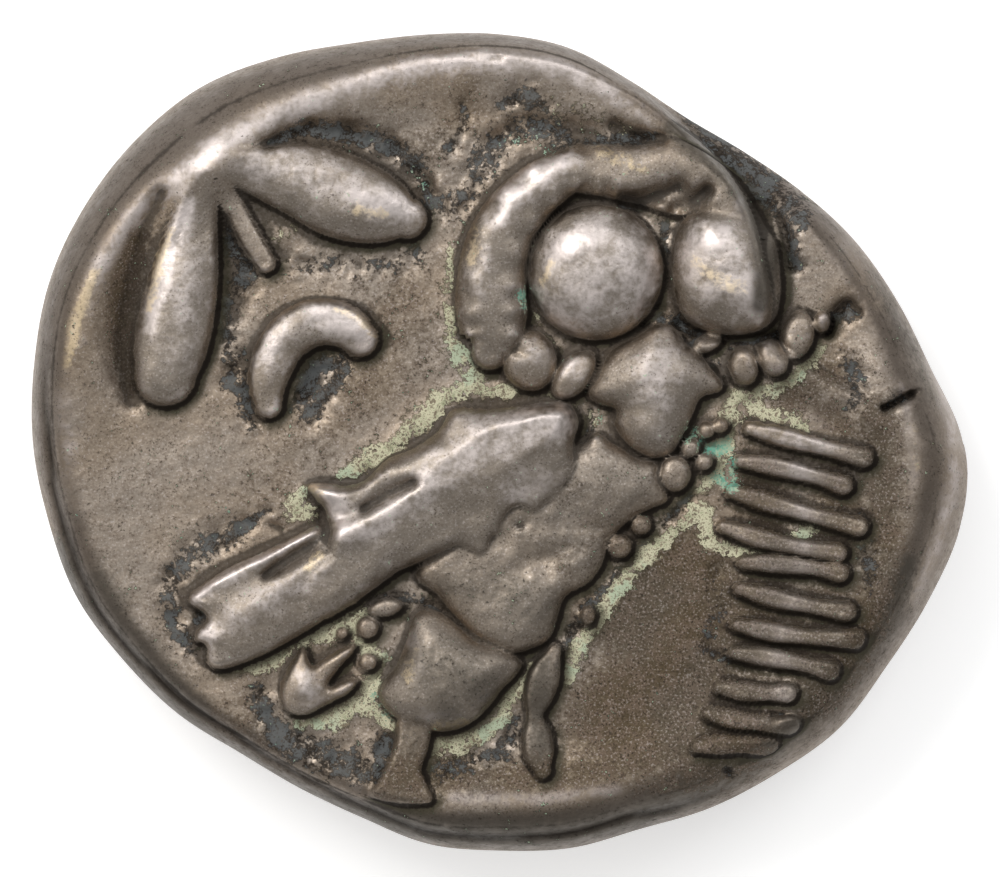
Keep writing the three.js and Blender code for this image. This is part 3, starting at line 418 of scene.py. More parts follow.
# Silver worn bright by handling, and painted highlights on the slopes, edges and eyes where the key light
# falls.
WORN_AND_HIGHLIGHTS = [
    (0.4, [(-11.1, 1.0, 0.4), (-11.1, -1.5, 0.3)]),
    (0.55, [(-6.4, 7.0, 0.45), (-5.0, 6.8, 0.5), (-3.6, 6.4, 0.4)]),
    (1.0, [(-3.7, 6.3, 0.2), (-3.0, 6.05, 0.4), (-2.4, 5.85, 0.25)]),
    (1.0, [(-7.85, 6.1, 0.15), (-8.3, 5.0, 0.25), (-8.7, 3.8, 0.25), (-8.85, 2.9, 0.15)]),
    (0.45, [(-7.9, 4.6, 0.4), (-8.2, 2.4, 0.5)]),
    (0.6, [(-5.95, 2.0, 0.25), (-5.5, 2.8, 0.35)]),
    (1.0, [(-4.6, 3.25, 0.3), (-3.9, 3.05, 0.4), (-3.4, 2.7, 0.3)]),
    (0.8, [(1.6, 7.1, 0.3), (0.6, 6.55, 0.4), (0.0, 5.7, 0.3)]),
    (0.45, [(-0.4, 4.8, 0.4), (-0.5, 3.8, 0.3)]),
    (0.75, [(1.6, 3.5, 0.9), (2.4, 4.2, 1.2), (3.2, 4.6, 0.9)]),
    (0.6, [(5.4, 4.6, 0.9), (6.3, 4.0, 0.8)]),
    (1.0, [(1.3, 4.4, 0.25), (1.7, 5.0, 0.4), (2.5, 5.3, 0.4)]),
    (0.9, [(3.5, 3.4, 0.2), (3.8, 4.2, 0.3), (3.7, 4.9, 0.2)]),
    (1.0, [(4.9, 4.2, 0.25), (5.1, 5.0, 0.45), (5.7, 5.2, 0.3)]),
    (0.9, [(5.3, 3.9, 0.3), (6.0, 4.0, 0.4), (6.5, 3.5, 0.25)]),
    (0.65, [(1.7, 0.6, 0.5), (0.2, 0.2, 0.7), (-1.2, -0.6, 0.6), (-2.4, -1.5, 0.5), (-3.4, -2.2, 0.5)]),
    (0.8, [(-4.7, -1.2, 0.15), (-4.2, -1.5, 0.25), (-4.0, -2.2, 0.25)]),
    (0.55, [(-4.9, -2.35, 0.2), (-6.2, -3.0, 0.3), (-7.6, -3.8, 0.3)]),
    (0.5, [(-4.6, -3.4, 0.4), (-6.4, -4.3, 0.4), (-7.4, -4.9, 0.2)]),
    (0.6, [(0.3, -1.2, 0.4), (1.2, -1.0, 0.4)]),
    (0.5, [(1.8, -2.1, 0.4), (3.0, -1.3, 0.4)]),
    (0.75, [(-2.3, -5.1, 0.25), (-2.0, -5.8, 0.3)]),
    (0.6, [(-1.9, -6.9, 0.25), (-1.0, -6.9, 0.3), (-0.3, -6.3, 0.2)]),
    (0.6, [(-5.1, -5.9, 0.25), (-4.8, -6.4, 0.3)]),
    (0.5, [(7.8, 0.2, 0.9), (7.6, -2.4, 0.9), (7.3, -4.8, 0.9), (6.9, -7.4, 0.9)]),
    (0.5, [(10.2, 1.5, 0.1), (10.4, 0.5, 0.2), (10.5, -0.6, 0.2), (10.4, -1.5, 0.1)]),
    (0.5, [(8.8, 5.0, 0.3), (9.7, 3.6, 0.25)]),
    (0.7, [(-1.2, -9.0, 0.2), (1.0, -9.0, 0.2), (3.0, -8.85, 0.2)]),
    (0.45, [(-5.9, -8.0, 0.2), (-4.8, -8.5, 0.2), (-3.6, -8.9, 0.2)]),
    (0.5, [(4.1, 1.9, 0.7), (3.8, 0.8, 0.5)]),
    (0.7, [(10.9, 2.0, 0.25), (11.5, 0.6, 0.25), (11.55, -0.8, 0.25), (11.1, -2.6, 0.25),
        (10.5, -4.0, 0.2)]),
    (0.5, [(0.7, 2.2, 0.35), (1.9, 1.8, 0.3)]),
]
MARKS_AND_PAINTED_LIGHT = {"pale_green": PALE_GREEN, "turquoise": TURQUOISE, "blue_black": BLUE_BLACK, "olive": OLIVE,
          "worn": WORN_AND_HIGHLIGHTS, "dusk": DUSK_AND_SHADE, "golden": GOLDEN_TONE_AND_GLINTS}
UNDER_WORN = 0.4  # the underside's even wear
UNDER_OLIVE, UNDER_OLIVE_VARIES = 0.35, 0.3  # the underside's earth

# ---- The silver's surface and the studio ----
BUMP_DEPTH = 0.03  # height of the fine grain, in millimetres
SILVER_SPECULAR = 0.12
FLOOR_SIDE = 0.6  # metres
FLOOR_GLOW = 0.45
# A light is its compass angle, height angle, distance and size in metres, and colour.
LIGHTS = {
    "key": (132, 50, 0.2, 0.09, (1.0, 0.985, 0.97)),
    "right": (48, 48, 0.2, 0.08, (0.97, 0.98, 1.0)),
    "left": (186, 32, 0.2, 0.08, (1.0, 0.93, 0.82)),
    "broad": (125, 42, 0.35, 0.34, (1.0, 0.99, 0.975)),
    "top": (90, 89, 0.5, 0.3, (1.0, 1.0, 1.0)),
}


# ---------------------------------------------------------------- curves, distances and noise


def around(values, angle):
    """Smooth curve through values spaced evenly round the circle, read at an angle (Catmull-Rom)."""
    n = len(values)
    at = np.mod(angle / (2 * np.pi), 1.0) * n
    i = np.floor(at).astype(int) % n
    t = at - np.floor(at)
    a, b, c, d = (values[(i + k) % n] for k in (-1, 0, 1, 2))
    return b + 0.5 * t * (c - a + t * (2 * a - 5 * b + 4 * c - d + t * (3 * (b - c) + d - a)))


def smooth(t):
    """3t^2 - 2t^3 between 0 and 1, flat outside."""
    t = np.clip(t, 0.0, 1.0)
    return t * t * (3 - 2 * t)


def through(points, per, closed):
    """Catmull-Rom curve through points, `per` samples from each to the next, as an array of rows."""
    p = np.asarray(points, float)
    if closed:
        p = np.vstack([p[-1:], p, p[:2]])
    else:
        p = np.vstack([2 * p[0] - p[1], p, 2 * p[-1] - p[-2]])
    t = (np.arange(per) / per)[None, :, None]
    a, b, c, d = (p[k:len(p) - 3 + k, None, :] for k in range(4))
    rows = b + 0.5 * t * (c - a + t * (2 * a - 5 * b + 4 * c - d + t * (3 * (b - c) + d - a)))
    rows = rows.reshape(-1, p.shape[1])
    return rows if closed else np.vstack([rows, p[-2]])


def to_segments(x, y, line):
    """Distance from every point to a line's nearest piece, that piece's number, and the place along it."""
    ax, ay = line[:-1, 0], line[:-1, 1]
    dx, dy = line[1:, 0] - ax, line[1:, 1] - ay
    length2 = np.maximum(dx * dx + dy * dy, 1e-12)
    px, py = x[:, None] - ax, y[:, None] - ay
    t = np.clip((px * dx + py * dy) / length2, 0.0, 1.0)
    gap2 = (px - t * dx) ** 2 + (py - t * dy) ** 2
    nearest = np.argmin(gap2, axis=1)
    rows = np.arange(len(x))
    return np.sqrt(gap2[rows, nearest]), nearest, t[rows, nearest]


def near(x, y, line, margin):
    """Which points lie within a margin of a line's bounding box."""
    low, high = line[:, :2].min(axis=0) - margin, line[:, :2].max(axis=0) + margin
    return np.flatnonzero((x > low[0]) & (x < high[0]) & (y > low[1]) & (y < high[1]))


TOP_HALF, UNDER_HALF = 120, 60  # rings in the grid of each face
SHADOW_SIDE_STEP = 0.1  # how far toward the key light at the upper left a point looks to learn whether it lies on a figure's shadow side, where shadow is painted
FAR = -0.8  # distance given to every point that is well outside a figure


def inside_outline(x, y, outline):
    """Signed distance to a closed outline, above 0 inside.

    A point is inside when an odd number of edges lie to its right.
    """
    ring = through(outline, 4, True)
    ring = np.vstack([ring, ring[:1]])
    depth = np.full(len(x), FAR)
    at = near(x, y, ring, -FAR)
    px, py = x[at], y[at]
    gap = to_segments(px, py, ring)[0]
    ax, ay, bx, by = ring[:-1, 0], ring[:-1, 1], ring[1:, 0], ring[1:, 1]
    spans = (ay > py[:, None]) != (by > py[:, None])
    crossing = ax + (py[:, None] - ay) * (bx - ax) / np.where(by == ay, 1e-9, by - ay)
    within = (spans & (px[:, None] < crossing)).sum(axis=1) % 2 == 1
    depth[at] = np.maximum(np.where(within, gap, -gap), FAR)
    return depth


def along_line(x, y, points, margin=-FAR):
    """Distance to a smooth line and the line's own half width there, far points left at a long distance."""
    line = through(points, 5, False)
    gap, width = np.full(len(x), 9.0), np.full(len(x), 1.0)
    at = near(x, y, line, margin + line[:, 2].max())
    gap[at], nearest, t = to_segments(x[at], y[at], line)
    width[at] = line[nearest, 2] * (1 - t) + line[nearest + 1, 2] * t
    return gap, np.maximum(width, 0.02)


def own_axes(x, y, cx, cy, turn):
    """Distances from a middle point along and across a direction that is turned from +X, in degrees."""
    c, s = math.cos(math.radians(turn)), math.sin(math.radians(turn))
    return (x - cx) * c + (y - cy) * s, (y - cy) * c - (x - cx) * s


def lattice(i, j, seed):
    """A fixed pseudo-random number from -1 to 1 for each whole i, j: the fraction of a large sine."""
    h = np.sin(i * 127.1 + j * 311.7 + seed * 74.7) * 43758.5453
    return 2 * (h - np.floor(h)) - 1


def noise(x, y, size, seed=0, octaves=3):
    """Value noise joined by 6t^5 - 15t^4 + 10t^3, each octave half as wide and half as high."""
    total = np.zeros_like(x)
    for octave in range(octaves):
        u, v = x / size * 2**octave, y / size * 2**octave
        i, j = np.floor(u), np.floor(v)
        fu, fv = u - i, v - j
        su, sv = (f**3 * (f * (f * 6 - 15) + 10) for f in (fu, fv))
        s = seed + 13 * octave
        low = lattice(i, j, s) * (1 - su) + lattice(i + 1, j, s) * su
        high = lattice(i, j + 1, s) * (1 - su) + lattice(i + 1, j + 1, s) * su
        total += (low * (1 - sv) + high * sv) / 2**octave
    return total


# ---------------------------------------------------------------- heights of the two faces


def inside_flan(outline, x, y):
    """Distance in from an outline given as radii round the circle."""
    return np.maximum(around(outline, np.arctan2(y, x)) - np.hypot(x, y), 0.0)


def quarter_round(inside, width):
    """0 at the outline, rising as a quarter circle to 1 at `width` inside it."""
    t = np.clip(1 - inside / width, 0.0, 1.0)
    return np.sqrt(1 - t * t)


def window(angle, low, high, soft):
    """1 between two angles, falling smoothly to 0 over `soft` on each side."""
    middle, half = (low + high) / 2, (high - low) / 2
    off = np.abs(np.mod(angle - middle + np.pi, 2 * np.pi) - np.pi)
    return 1 - smooth((off - half) / soft + 0.5)


def sheet_top(outline, tight, ground, x, y):
    """A sheet's upper face: quarter round from equator to crest, then a smooth fall to the ground."""
    angle = np.arctan2(y, x)
    inside = inside_flan(outline, x, y)
    crest = around(CREST_IN, angle) * tight
    rise = around(CREST_RISE, angle) * (1 - smooth((inside - crest) / RIM_SLOPE))
    return EQUATOR + (ground + rise - EQUATOR) * quarter_round(inside, crest)


def flan_top(x, y, field):
    """The higher of the two sheets, with the lower one dropped where the fold stands open."""
    angle = np.arctan2(y, x)
    drop = SHEET_STEP
    for span, amount in FOLD_DROPS:
        drop = drop + amount * window(angle, *map(math.radians, span))
    tight = 1 - FOLD_TIGHT[1] * window(angle, *map(math.radians, FOLD_TIGHT[0]))
    upper = sheet_top(UPPER_OUTLINE, tight, field, x, y)
    lower = sheet_top(OUTLINE, 1.0, field - drop, x, y)
    return smooth_max(upper, lower, 0.06)


def smooth_max(a, b, blend):
    """Larger of two heights, their crease filled by k(1 - |a - b|/k)^2 / 4. The lower one limits k."""
    k = np.clip(np.minimum(a, b), 1e-6, blend)
    return np.maximum(a, b) + k * np.clip(1 - np.abs(a - b) / k, 0.0, 1.0) ** 2 / 4


def shoulder(depth, width):
    """Rounded edge of a figure: (1 - (1 - depth/width)^2)^0.7, 0 outside it."""
    u = np.clip(depth / width, 0.0, 1.0)
    return (1 - (1 - u) ** 2) ** 0.7


def join(relief, depth, edge, height, figure_depth):
    """Adds one figure to the relief.

    Depth is how far inside any figure a point lies, and edge is how far it lies from any figure's outline.
    """
    relief = smooth_max(relief, height, 0.05)
    return relief, np.maximum(depth, figure_depth), np.minimum(edge, np.abs(figure_depth))


def raised(x, y, plates, domes, ridges):
    """Relief over the ground, signed distance inside the nearest figure, and distance to any outline."""
    made = np.zeros(len(x)), np.full(len(x), FAR), np.full(len(x), -FAR)
    for rise, edge, outline in plates.values():
        d = inside_outline(x, y, outline)
        made = join(*made, rise * shoulder(d, edge), d)
    for cx, cy, half_length, half_width, turn, rise in domes.values():
        u, v = own_axes(x, y, cx, cy, turn)
        rho = np.hypot(u / half_length, v / half_width)
        height = rise * np.clip(1 - rho**3, 0.0, 1.0) ** 0.7
        d = np.maximum((1 - rho) * min(half_length, half_width), FAR)
        made = join(*made, height, d)
    for rise, points in ridges.values():
        gap, width = along_line(x, y, points)
        rho = gap / width
        taper = np.sqrt(np.minimum(width / max(p[2] for p in points), 1.0))
        height = rise * taper * np.clip(1 - rho**4, 0.0, 1.0) ** 0.7
        made = join(*made, height, np.maximum(width - gap, FAR))
    return made


def strokes():
    """The legend's place as ridges: each row repeats one stroke at a fixed step."""
    made = {}
    for row, (first, run, step, count, rise) in enumerate(STROKE_ROWS):
        for n in range(count):
            x, y = first[0] + n * step[0], first[1] + n * step[1]
            trim = STROKE_TRIM * math.sin(2.1 * n + row)
            bend = STROKE_BEND * math.sin(1.7 * n + 2 * row)
            tilt = STROKE_TILT * math.sin(2.9 * n + 1.3 * row)
            points = []
            for t, width in (*STROKE_WIDTHS, (1.0 - trim, STROKE_END_WIDTH)):
                sway = bend * math.sin(math.pi * t) + tilt * (t - 0.5)
                points.append((x + t * run[0], y + t * run[1] + sway, width * STROKE_HALF_WIDTH))
            made[f"stroke_{row}_{n}"] = (rise, points)
    return made


def folds(x, y, lines):
    """Sum of soft lines, each height * exp(-(gap/width)^2) by the distance from its middle."""
    total = np.zeros(len(x))
    for height, points in lines.values():
        gap, width = along_line(x, y, points)
        total += height * np.exp(-((gap / width) ** 2))
    return total


def mound(x, y, cx, cy, half_length, half_width, turn, rise):
    """A soft mound: rise * exp(-r^2) with r measured in its own half length and half width."""
    u, v = own_axes(x, y, cx, cy, turn)
    u, v = u / half_length, v / half_width
    return rise * np.exp(-(u * u) - v * v)


def ruff_scallops(x, y):
    """Small lobes along the ruff's inner edge: a cosine along the line, strongest at the ruff's side."""
    height, out, width, waves = SCALLOPS
    gap, nearest, t = to_segments(x, y, through(RIDGES["ruff"][1], 5, False))
    side = np.exp(-(((gap - out) / width) ** 2))
    return height * side * np.cos((nearest + t) * waves + 1.5 * noise(x, y, 2.0, 61, 1))


def on_figures(relief, clear=0.3):
    """0 on the ground, rising to 1 where the relief stands `clear` above it."""
    return smooth(relief / clear)


def owl_side(x, y, field):
    """Everything on the upper face: its height and, by name, what the shader needs to know of each point."""
    ground = flan_top(x, y, field)
    inside = inside_flan(OUTLINE, x, y)
    angle = np.arctan2(y, x)
    settle = smooth((inside - 0.2) / 0.8)
    ridges = {**RIDGES, **strokes()}
    relief, depth, edge = raised(x, y, PLATES, DOMES, ridges)
    depth = np.maximum(depth - 2 * (1 - smooth(inside / 0.7)), FAR)
    relief = softened(relief, np.minimum(depth, edge))
    relief += (ruff_scallops(x, y) + sum(mound(x, y, *swell) for swell in SWELLS)) * on_figures(relief)
    relief += 0.02 * noise(x, y, 0.9, 3) * on_figures(relief)
    mottled = mound(x, y, *MOTTLED, 1.0) * on_figures(relief)
    relief += 0.05 * mottled * noise(x, y, 0.42, 21, 2)
    height = ground + smooth_max(relief, mound(x, y, *ROOT), 0.2) * settle
    height += (folds(x, y, CRESTS) * on_figures(relief) - folds(x, y, GROOVES)) * settle
    corroded = stained(x, y, BLUE_BLACK) * (1 - on_figures(relief, 0.2))
    height -= 0.09 * corroded * (1 + 1.6 * noise(x, y, 0.3, 51, 2)).clip(0, 2) * settle
    height += 0.05 * stained(x, y, PALE_GREEN) * (1 - on_figures(relief, 0.2))
    crease = np.exp(-(((inside - LIP["inside"] - 0.08 * noise(x, y, 2.5, 5)) / LIP["width"]) ** 2))
    lip = window(angle, *LIP_SPAN)
    height -= LIP["depth"] * crease * lip
    height -= nick_cut(x, y)
    height += (0.035 * noise(x, y, 3.0, 7, 2) + 0.014 * noise(x, y, 0.6, 9, 3)) * settle
    # The side of each figure turned away from the key light at the upper left, where the shader paints
    # shadow.
    toward = SHADOW_SIDE_STEP * math.sqrt(0.5)
    toward_light_depth = raised(x - toward, y + toward, PLATES, DOMES, ridges)[1]
    crest = around(CREST_IN, angle)
    # A painted highlight along the rim's crest, on the side toward the key light.
    polished = CREST_HIGHLIGHT["strength"] * window(angle, *CREST_HIGHLIGHT_SPAN)
    polished = polished * np.exp(-(((inside - CREST_HIGHLIGHT["across"] * crest) / CREST_HIGHLIGHT["width"]) ** 2))
    return height, {"polished": polished, "seam": crease * lip, "relief": relief, "depth": depth,
                    "lee": (toward_light_depth - depth) / SHADOW_SIDE_STEP, "flank": 1 - inside / crest}


def softened(relief, depth):
    """Relief blurred away from the figures' edges, so that only the edges stay crisp."""
    side = 2 * TOP_HALF + 1
    grid = relief[:side * side].reshape(side, side)
    inner = smooth((depth[:side * side] - 0.12) / 0.3)
    relief[:side * side] += inner * (blurred(grid, 2).ravel() - grid.ravel())
    return relief


def nick_cut(x, y):
    """The nick: its upper half a deep slot, its lower half a bevel that slopes into it."""
    cx, cy, turn, half_length, half_width, depth, bevel = NICK
    u, v = own_axes(x, y, cx, cy, turn)
    ends = smooth((half_length - np.abs(u)) / 0.12 + 0.5)
    walls = smooth((half_width - np.abs(v)) / 0.08 + 0.5)
    slot = smooth(v / 0.05)
    return ends * walls * (depth * slot + bevel * np.clip(1 + v / half_width, 0, 1) * (1 - slot))


def head_side(x, y):
    """The underside as a height below: ground, head and wear, all above the surface the coin lies on."""
    inside = inside_flan(OUTLINE, x, y)
    ground = EQUATOR - (EQUATOR - UNDER) * quarter_round(inside, UNDER_EDGE)
    relief, depth, _ = raised(x, -y, BACK_PLATES, BACK_DOMES, BACK_RIDGES)
    relief *= BACK_WEAR
    settle = smooth(inside / 0.8)
    wear = (0.05 * noise(x, y, 2.6, 31) + 0.015 * noise(x, y, 0.5, 33, 2)) * settle
    height = ground - relief * settle - wear
    flank = 1 - inside / UNDER_EDGE
    none = np.zeros(len(x))
    facts = {"relief": relief, "depth": depth, "lee": none, "flank": flank, "polished": none, "seam": none}
    return np.maximum(height, 0.0), facts


# ---------------------------------------------------------------- the mesh


def disc_grid(half):
    """A square grid drawn out to a unit disc: each square ring becomes a circle of evenly spaced points."""
    step = np.arange(-half, half + 1)
    i, j = (a.ravel().astype(float) for a in np.meshgrid(step, step, indexing="ij"))
    wide = np.abs(i) >= np.abs(j)
    radius = np.where(wide, i, j)
    safe = np.where(radius == 0, 1.0, radius)
    angle = np.where(wide, (np.pi / 4) * j / safe, np.pi / 2 - (np.pi / 4) * i / safe)
    angle = np.where(radius < 0, angle + np.pi, angle)
    side = 2 * half + 1
    corner = (np.arange(side - 1)[:, None] * side + np.arange(side - 1)[None, :]).ravel()
    quads = np.stack([corner, corner + side, corner + side + 1, corner + 1], axis=1)
    outer = np.flatnonzero(np.maximum(np.abs(i), np.abs(j)) == half)
    turn = np.mod(np.round(angle[outer], 9), round(2 * np.pi, 9))
    return np.abs(radius) / half, angle, quads, outer[np.argsort(turn)]


def strip(upper, lower):
    """Quads between two rings of the same count, facing outwards."""
    a, b = np.roll(upper, -1), np.roll(lower, -1)
    return np.stack([upper, lower, b, a], axis=1)


def halving_strip(upper, lower):
    """Joins a ring to one with half as many points: a quad and a triangle for each lower side."""
    a, b, c = upper[0::2], upper[1::2], np.roll(upper[0::2], -1)
    d, e = lower, np.roll(lower, -1)
    return np.stack([a, d, e, b], axis=1), np.stack([b, e, c], axis=1)


def edge_rings(angle, width, turns):
    """Plan points of the rings round the edge, each inset by width(1 - cos p) at its own turn p."""
    radii = [around(OUTLINE, angle) - width * (1 - math.cos(p)) for p in turns]
    return [radius * np.cos(angle) for radius in radii], [radius * np.sin(angle) for radius in radii]


def numbered(start, rings, size):
    """Point numbers of each ring in turn, from a first number on."""
    return [start + n * size + np.arange(size) for n in range(rings)]


def coin_surface(field):
    """Vertices, faces and per-vertex facts of the coin.

    Each face is a disc grid that stops where its edge rounds over. Rings carry the edge from there to the
    equator, evenly spaced along the quarter round.
    """
    r1, a1, quads1, rim1 = disc_grid(TOP_HALF)
    r2, a2, quads2, rim2 = disc_grid(UNDER_HALF)
    edge_width = around(CREST_IN, a1)
    plan1 = r1 * (around(OUTLINE, a1) - edge_width * (1 - math.cos(EDGE_TURN)))
    plan2 = r2 * (around(OUTLINE, a2) - UNDER_EDGE * (1 - math.cos(EDGE_TURN)))
    top_x, top_y = edge_rings(a1[rim1], edge_width[rim1], np.linspace(EDGE_TURN, 0.0, TOP_RINGS)[1:])
    under_x, under_y = edge_rings(a2[rim2], UNDER_EDGE, np.linspace(0.0, EDGE_TURN, UNDER_RINGS)[1:-1])
    rings = [rim1] + numbered(len(r1), len(top_x), len(rim1))
    top_count = len(r1) + len(top_x) * len(rim1)
    under_start = top_count + len(under_x) * len(rim2)
    under_rings = numbered(top_count, len(under_x), len(rim2)) + [under_start + rim2]
    x = np.concatenate([plan1 * np.cos(a1), *top_x, *under_x, plan2 * np.cos(a2)])
    y = np.concatenate([plan1 * np.sin(a1), *top_y, *under_y, plan2 * np.sin(a2)])
    quads = [quads1, quads2[:, ::-1] + under_start]
    quads += [strip(a, b) for a, b in zip(rings, rings[1:])]
    quads += [strip(a, b) for a, b in zip(under_rings, under_rings[1:])]
    seam_quads, seam_triangles = halving_strip(rings[-1], under_rings[0])
    z_top, facts_top = owl_side(x[:top_count], y[:top_count], field)
    z_under, facts_under = head_side(x[top_count:], y[top_count:])
    z = np.concatenate([z_top, z_under])
    facts = {name: np.concatenate([facts_top[name], facts_under[name]]) for name in facts_top}
    facts.update(hollows(z))
    stain_facts(x, y, np.arange(len(x)) >= top_count, facts)
    return np.stack([x, y, z], axis=1), quads + [seam_quads], [seam_triangles], facts


def stain_facts(x, y, under, facts):
    """Adds each stain's strength to the facts: as marked on the owl side, and even on the underside. Some
    marks paint highlight or shade, and the rim's painted crest highlight joins the worn marks.
    """
    for name, marks in MARKS_AND_PAINTED_LIGHT.items():
        facts[name] = np.where(under, 0.0, stained(x, y, marks))
    facts["worn"] = np.maximum(facts["worn"], facts.pop("polished"))
    facts["worn"][under] = UNDER_WORN
    facts["olive"][under] = UNDER_OLIVE + UNDER_OLIVE_VARIES * noise(x[under], y[under], 3.0, 41)


def blurred(grid, reach):
    """Gaussian blur of a square array along both axes, edges held."""
    steps = np.arange(-3 * reach, 3 * reach + 1)
    weight = np.exp(-0.5 * (steps / reach) ** 2)
    weight /= weight.sum()
    pad = 3 * reach
    for axis in (0, 1):
        wide = np.pad(grid, [(pad, pad) if k == axis else (0, 0) for k in (0, 1)], mode="edge")
        place = np.arange(grid.shape[axis])
        grid = sum(w * np.take(wide, place + n, axis=axis) for n, w in enumerate(weight))
    return grid


def hollows(z):
    """How far each point lies below (hollow) or above (proud) the blurred surface, finely and broadly."""
    facts = {}
    for name, reach in (("fine", 2), ("broad", 7)):
        top = z[:(2 * TOP_HALF + 1) ** 2].reshape(2 * TOP_HALF + 1, -1)
        under = z[-(2 * UNDER_HALF + 1) ** 2:].reshape(2 * UNDER_HALF + 1, -1)
        value = np.zeros_like(z)
        value[:top.size] = (blurred(top, reach) - top).ravel()
        value[-under.size:] = -(blurred(under, max(1, reach // 2)) - under).ravel()
        facts[name] = value
    return facts


def stained(x, y, marks):
    """Strength of a stain from 0 to 1: each mark falls off as exp(-(gap/reach)^2) from its line."""
    total = np.zeros(len(x))
    for strength, points in marks:
        gap, reach = along_line(x, y, points, 1.2)
        total = np.maximum(total, strength * np.exp(-((gap / (reach * 1.25)) ** 2)))
    return total


def fitted(points):
    """Moves the surface onto the middle of the frame's box, and draws it in where it would stand out."""
    low, high = points.min(axis=0), points.max(axis=0)
    scale = np.minimum((BOX[1] - BOX[0])[:2] / (high - low)[:2], 1.0)
    plan = (points[:, :2] - (low + high)[:2] / 2) * scale + (BOX[0] + BOX[1])[:2] / 2
    return np.column_stack([plan, np.clip(points[:, 2], 0.0, THICKNESS)])


def new_mesh_object(name, points, quads, triangles, facts):
    """A smooth mesh from arrays in millimetres, each fact kept as a number on its points."""
    mesh = bpy.data.meshes.new(name)
    faces4, faces3 = np.concatenate(quads), np.concatenate(triangles)
    loops = np.concatenate([faces4.ravel(), faces3.ravel()])
    starts = np.concatenate([np.arange(len(faces4)) * 4, len(faces4) * 4 + np.arange(len(faces3)) * 3])
    mesh.vertices.add(len(points))
    mesh.loops.add(len(loops))
    mesh.polygons.add(len(starts))
    mesh.vertices.foreach_set("co", (points * MM).astype(np.float32).ravel())
    mesh.loops.foreach_set("vertex_index", loops.astype(np.int32))
    mesh.polygons.foreach_set("loop_start", starts.astype(np.int32))
    mesh.polygons.foreach_set("use_smooth", np.ones(len(starts), bool))
    mesh.update(calc_edges=True)
    mesh.validate()
    for fact, values in facts.items():
        mesh.attributes.new(fact, "FLOAT", "POINT").data.foreach_set("value", values.astype(np.float32))
    piece = bpy.data.objects.new(name, mesh)
    bpy.context.scene.collection.objects.link(piece)
    return piece


# ---------------------------------------------------------------- shader arithmetic


class Wire:
    """A socket that Python's arithmetic works on: each operator adds the Math node that does the same."""

    def __init__(self, shader, socket):
        self.shader = shader
        self.socket = socket

    def _math(self, operation, *values, clamp=False):
        settings = {"operation": operation, "use_clamp": clamp}
        return self.shader.node("ShaderNodeMath", settings, dict(enumerate(values))).wire(0)

    def __add__(self, other):
        return self._math("ADD", self, other)

    def __sub__(self, other):
        return self._math("SUBTRACT", self, other)

    def __rsub__(self, other):
        return self._math("SUBTRACT", other, self)

    def __mul__(self, other):
        return self._math("MULTIPLY", self, other)

    __radd__ = __add__

    def most(self, other):
        return self._math("MAXIMUM", self, other)

    def clamped(self):
        return self._math("ADD", self, 0.0, clamp=True)

    def ramp(self, low, high):
        """0 below low, 1 above high, smooth between; the two may run the other way."""
        settings = {"interpolation_type": "SMOOTHSTEP", "clamp": True}
        sockets = {"Value": self, "From Min": low, "From Max": high, "To Min": 0.0, "To Max": 1.0}
        return self.shader.node("ShaderNodeMapRange", settings, sockets).wire("Result")


class Node:
    """A node made by the shader, giving its outputs as wires."""

    def __init__(self, shader, made):
        self.shader = shader
        self.made = made

    def wire(self, output):
        return Wire(self.shader, self.made.outputs[output])


class Shader:
    """Builds one material's node tree."""

    def __init__(self, name):
        self.material = bpy.data.materials.new(name)
        self.material.use_nodes = True
        self.tree = self.material.node_tree
        self.tree.nodes.clear()

    def node(self, kind, settings=None, sockets=None):
        made = self.tree.nodes.new(kind)
        for name, value in (settings or {}).items():
            setattr(made, name, value)
        for name, value in (sockets or {}).items():
            if isinstance(value, Wire):
                self.tree.links.new(value.socket, made.inputs[name])
            else:
                made.inputs[name].default_value = value
        return Node(self, made)

    def mix(self, factor, first, second):
        """Colour mix; first and second are colours or wires."""
        first, second = (c if isinstance(c, Wire) else (*c, 1.0) for c in (first, second))
        return self.node("ShaderNodeMix", {"data_type": "RGBA"}, {0: factor, 6: first, 7: second}).wire(2)

    def fact(self, name):
        return self.node("ShaderNodeAttribute", {"attribute_name": name}).wire("Fac")

    def noise(self, per_mm, detail, roughness=0.55):
        """Soft noise on Object coordinates, with so many waves to a millimetre."""
        coordinates = self.node("ShaderNodeTexCoord").wire("Object")
        placed = self.node("ShaderNodeMapping", {}, {"Vector": coordinates, "Scale": (per_mm / MM,) * 3})
        sockets = {"Vector": placed.wire("Vector"), "Scale": 1.0, "Detail": detail, "Roughness": roughness}
        return self.node("ShaderNodeTexNoise", {}, sockets).wire("Fac")


# ---------------------------------------------------------------- the silver


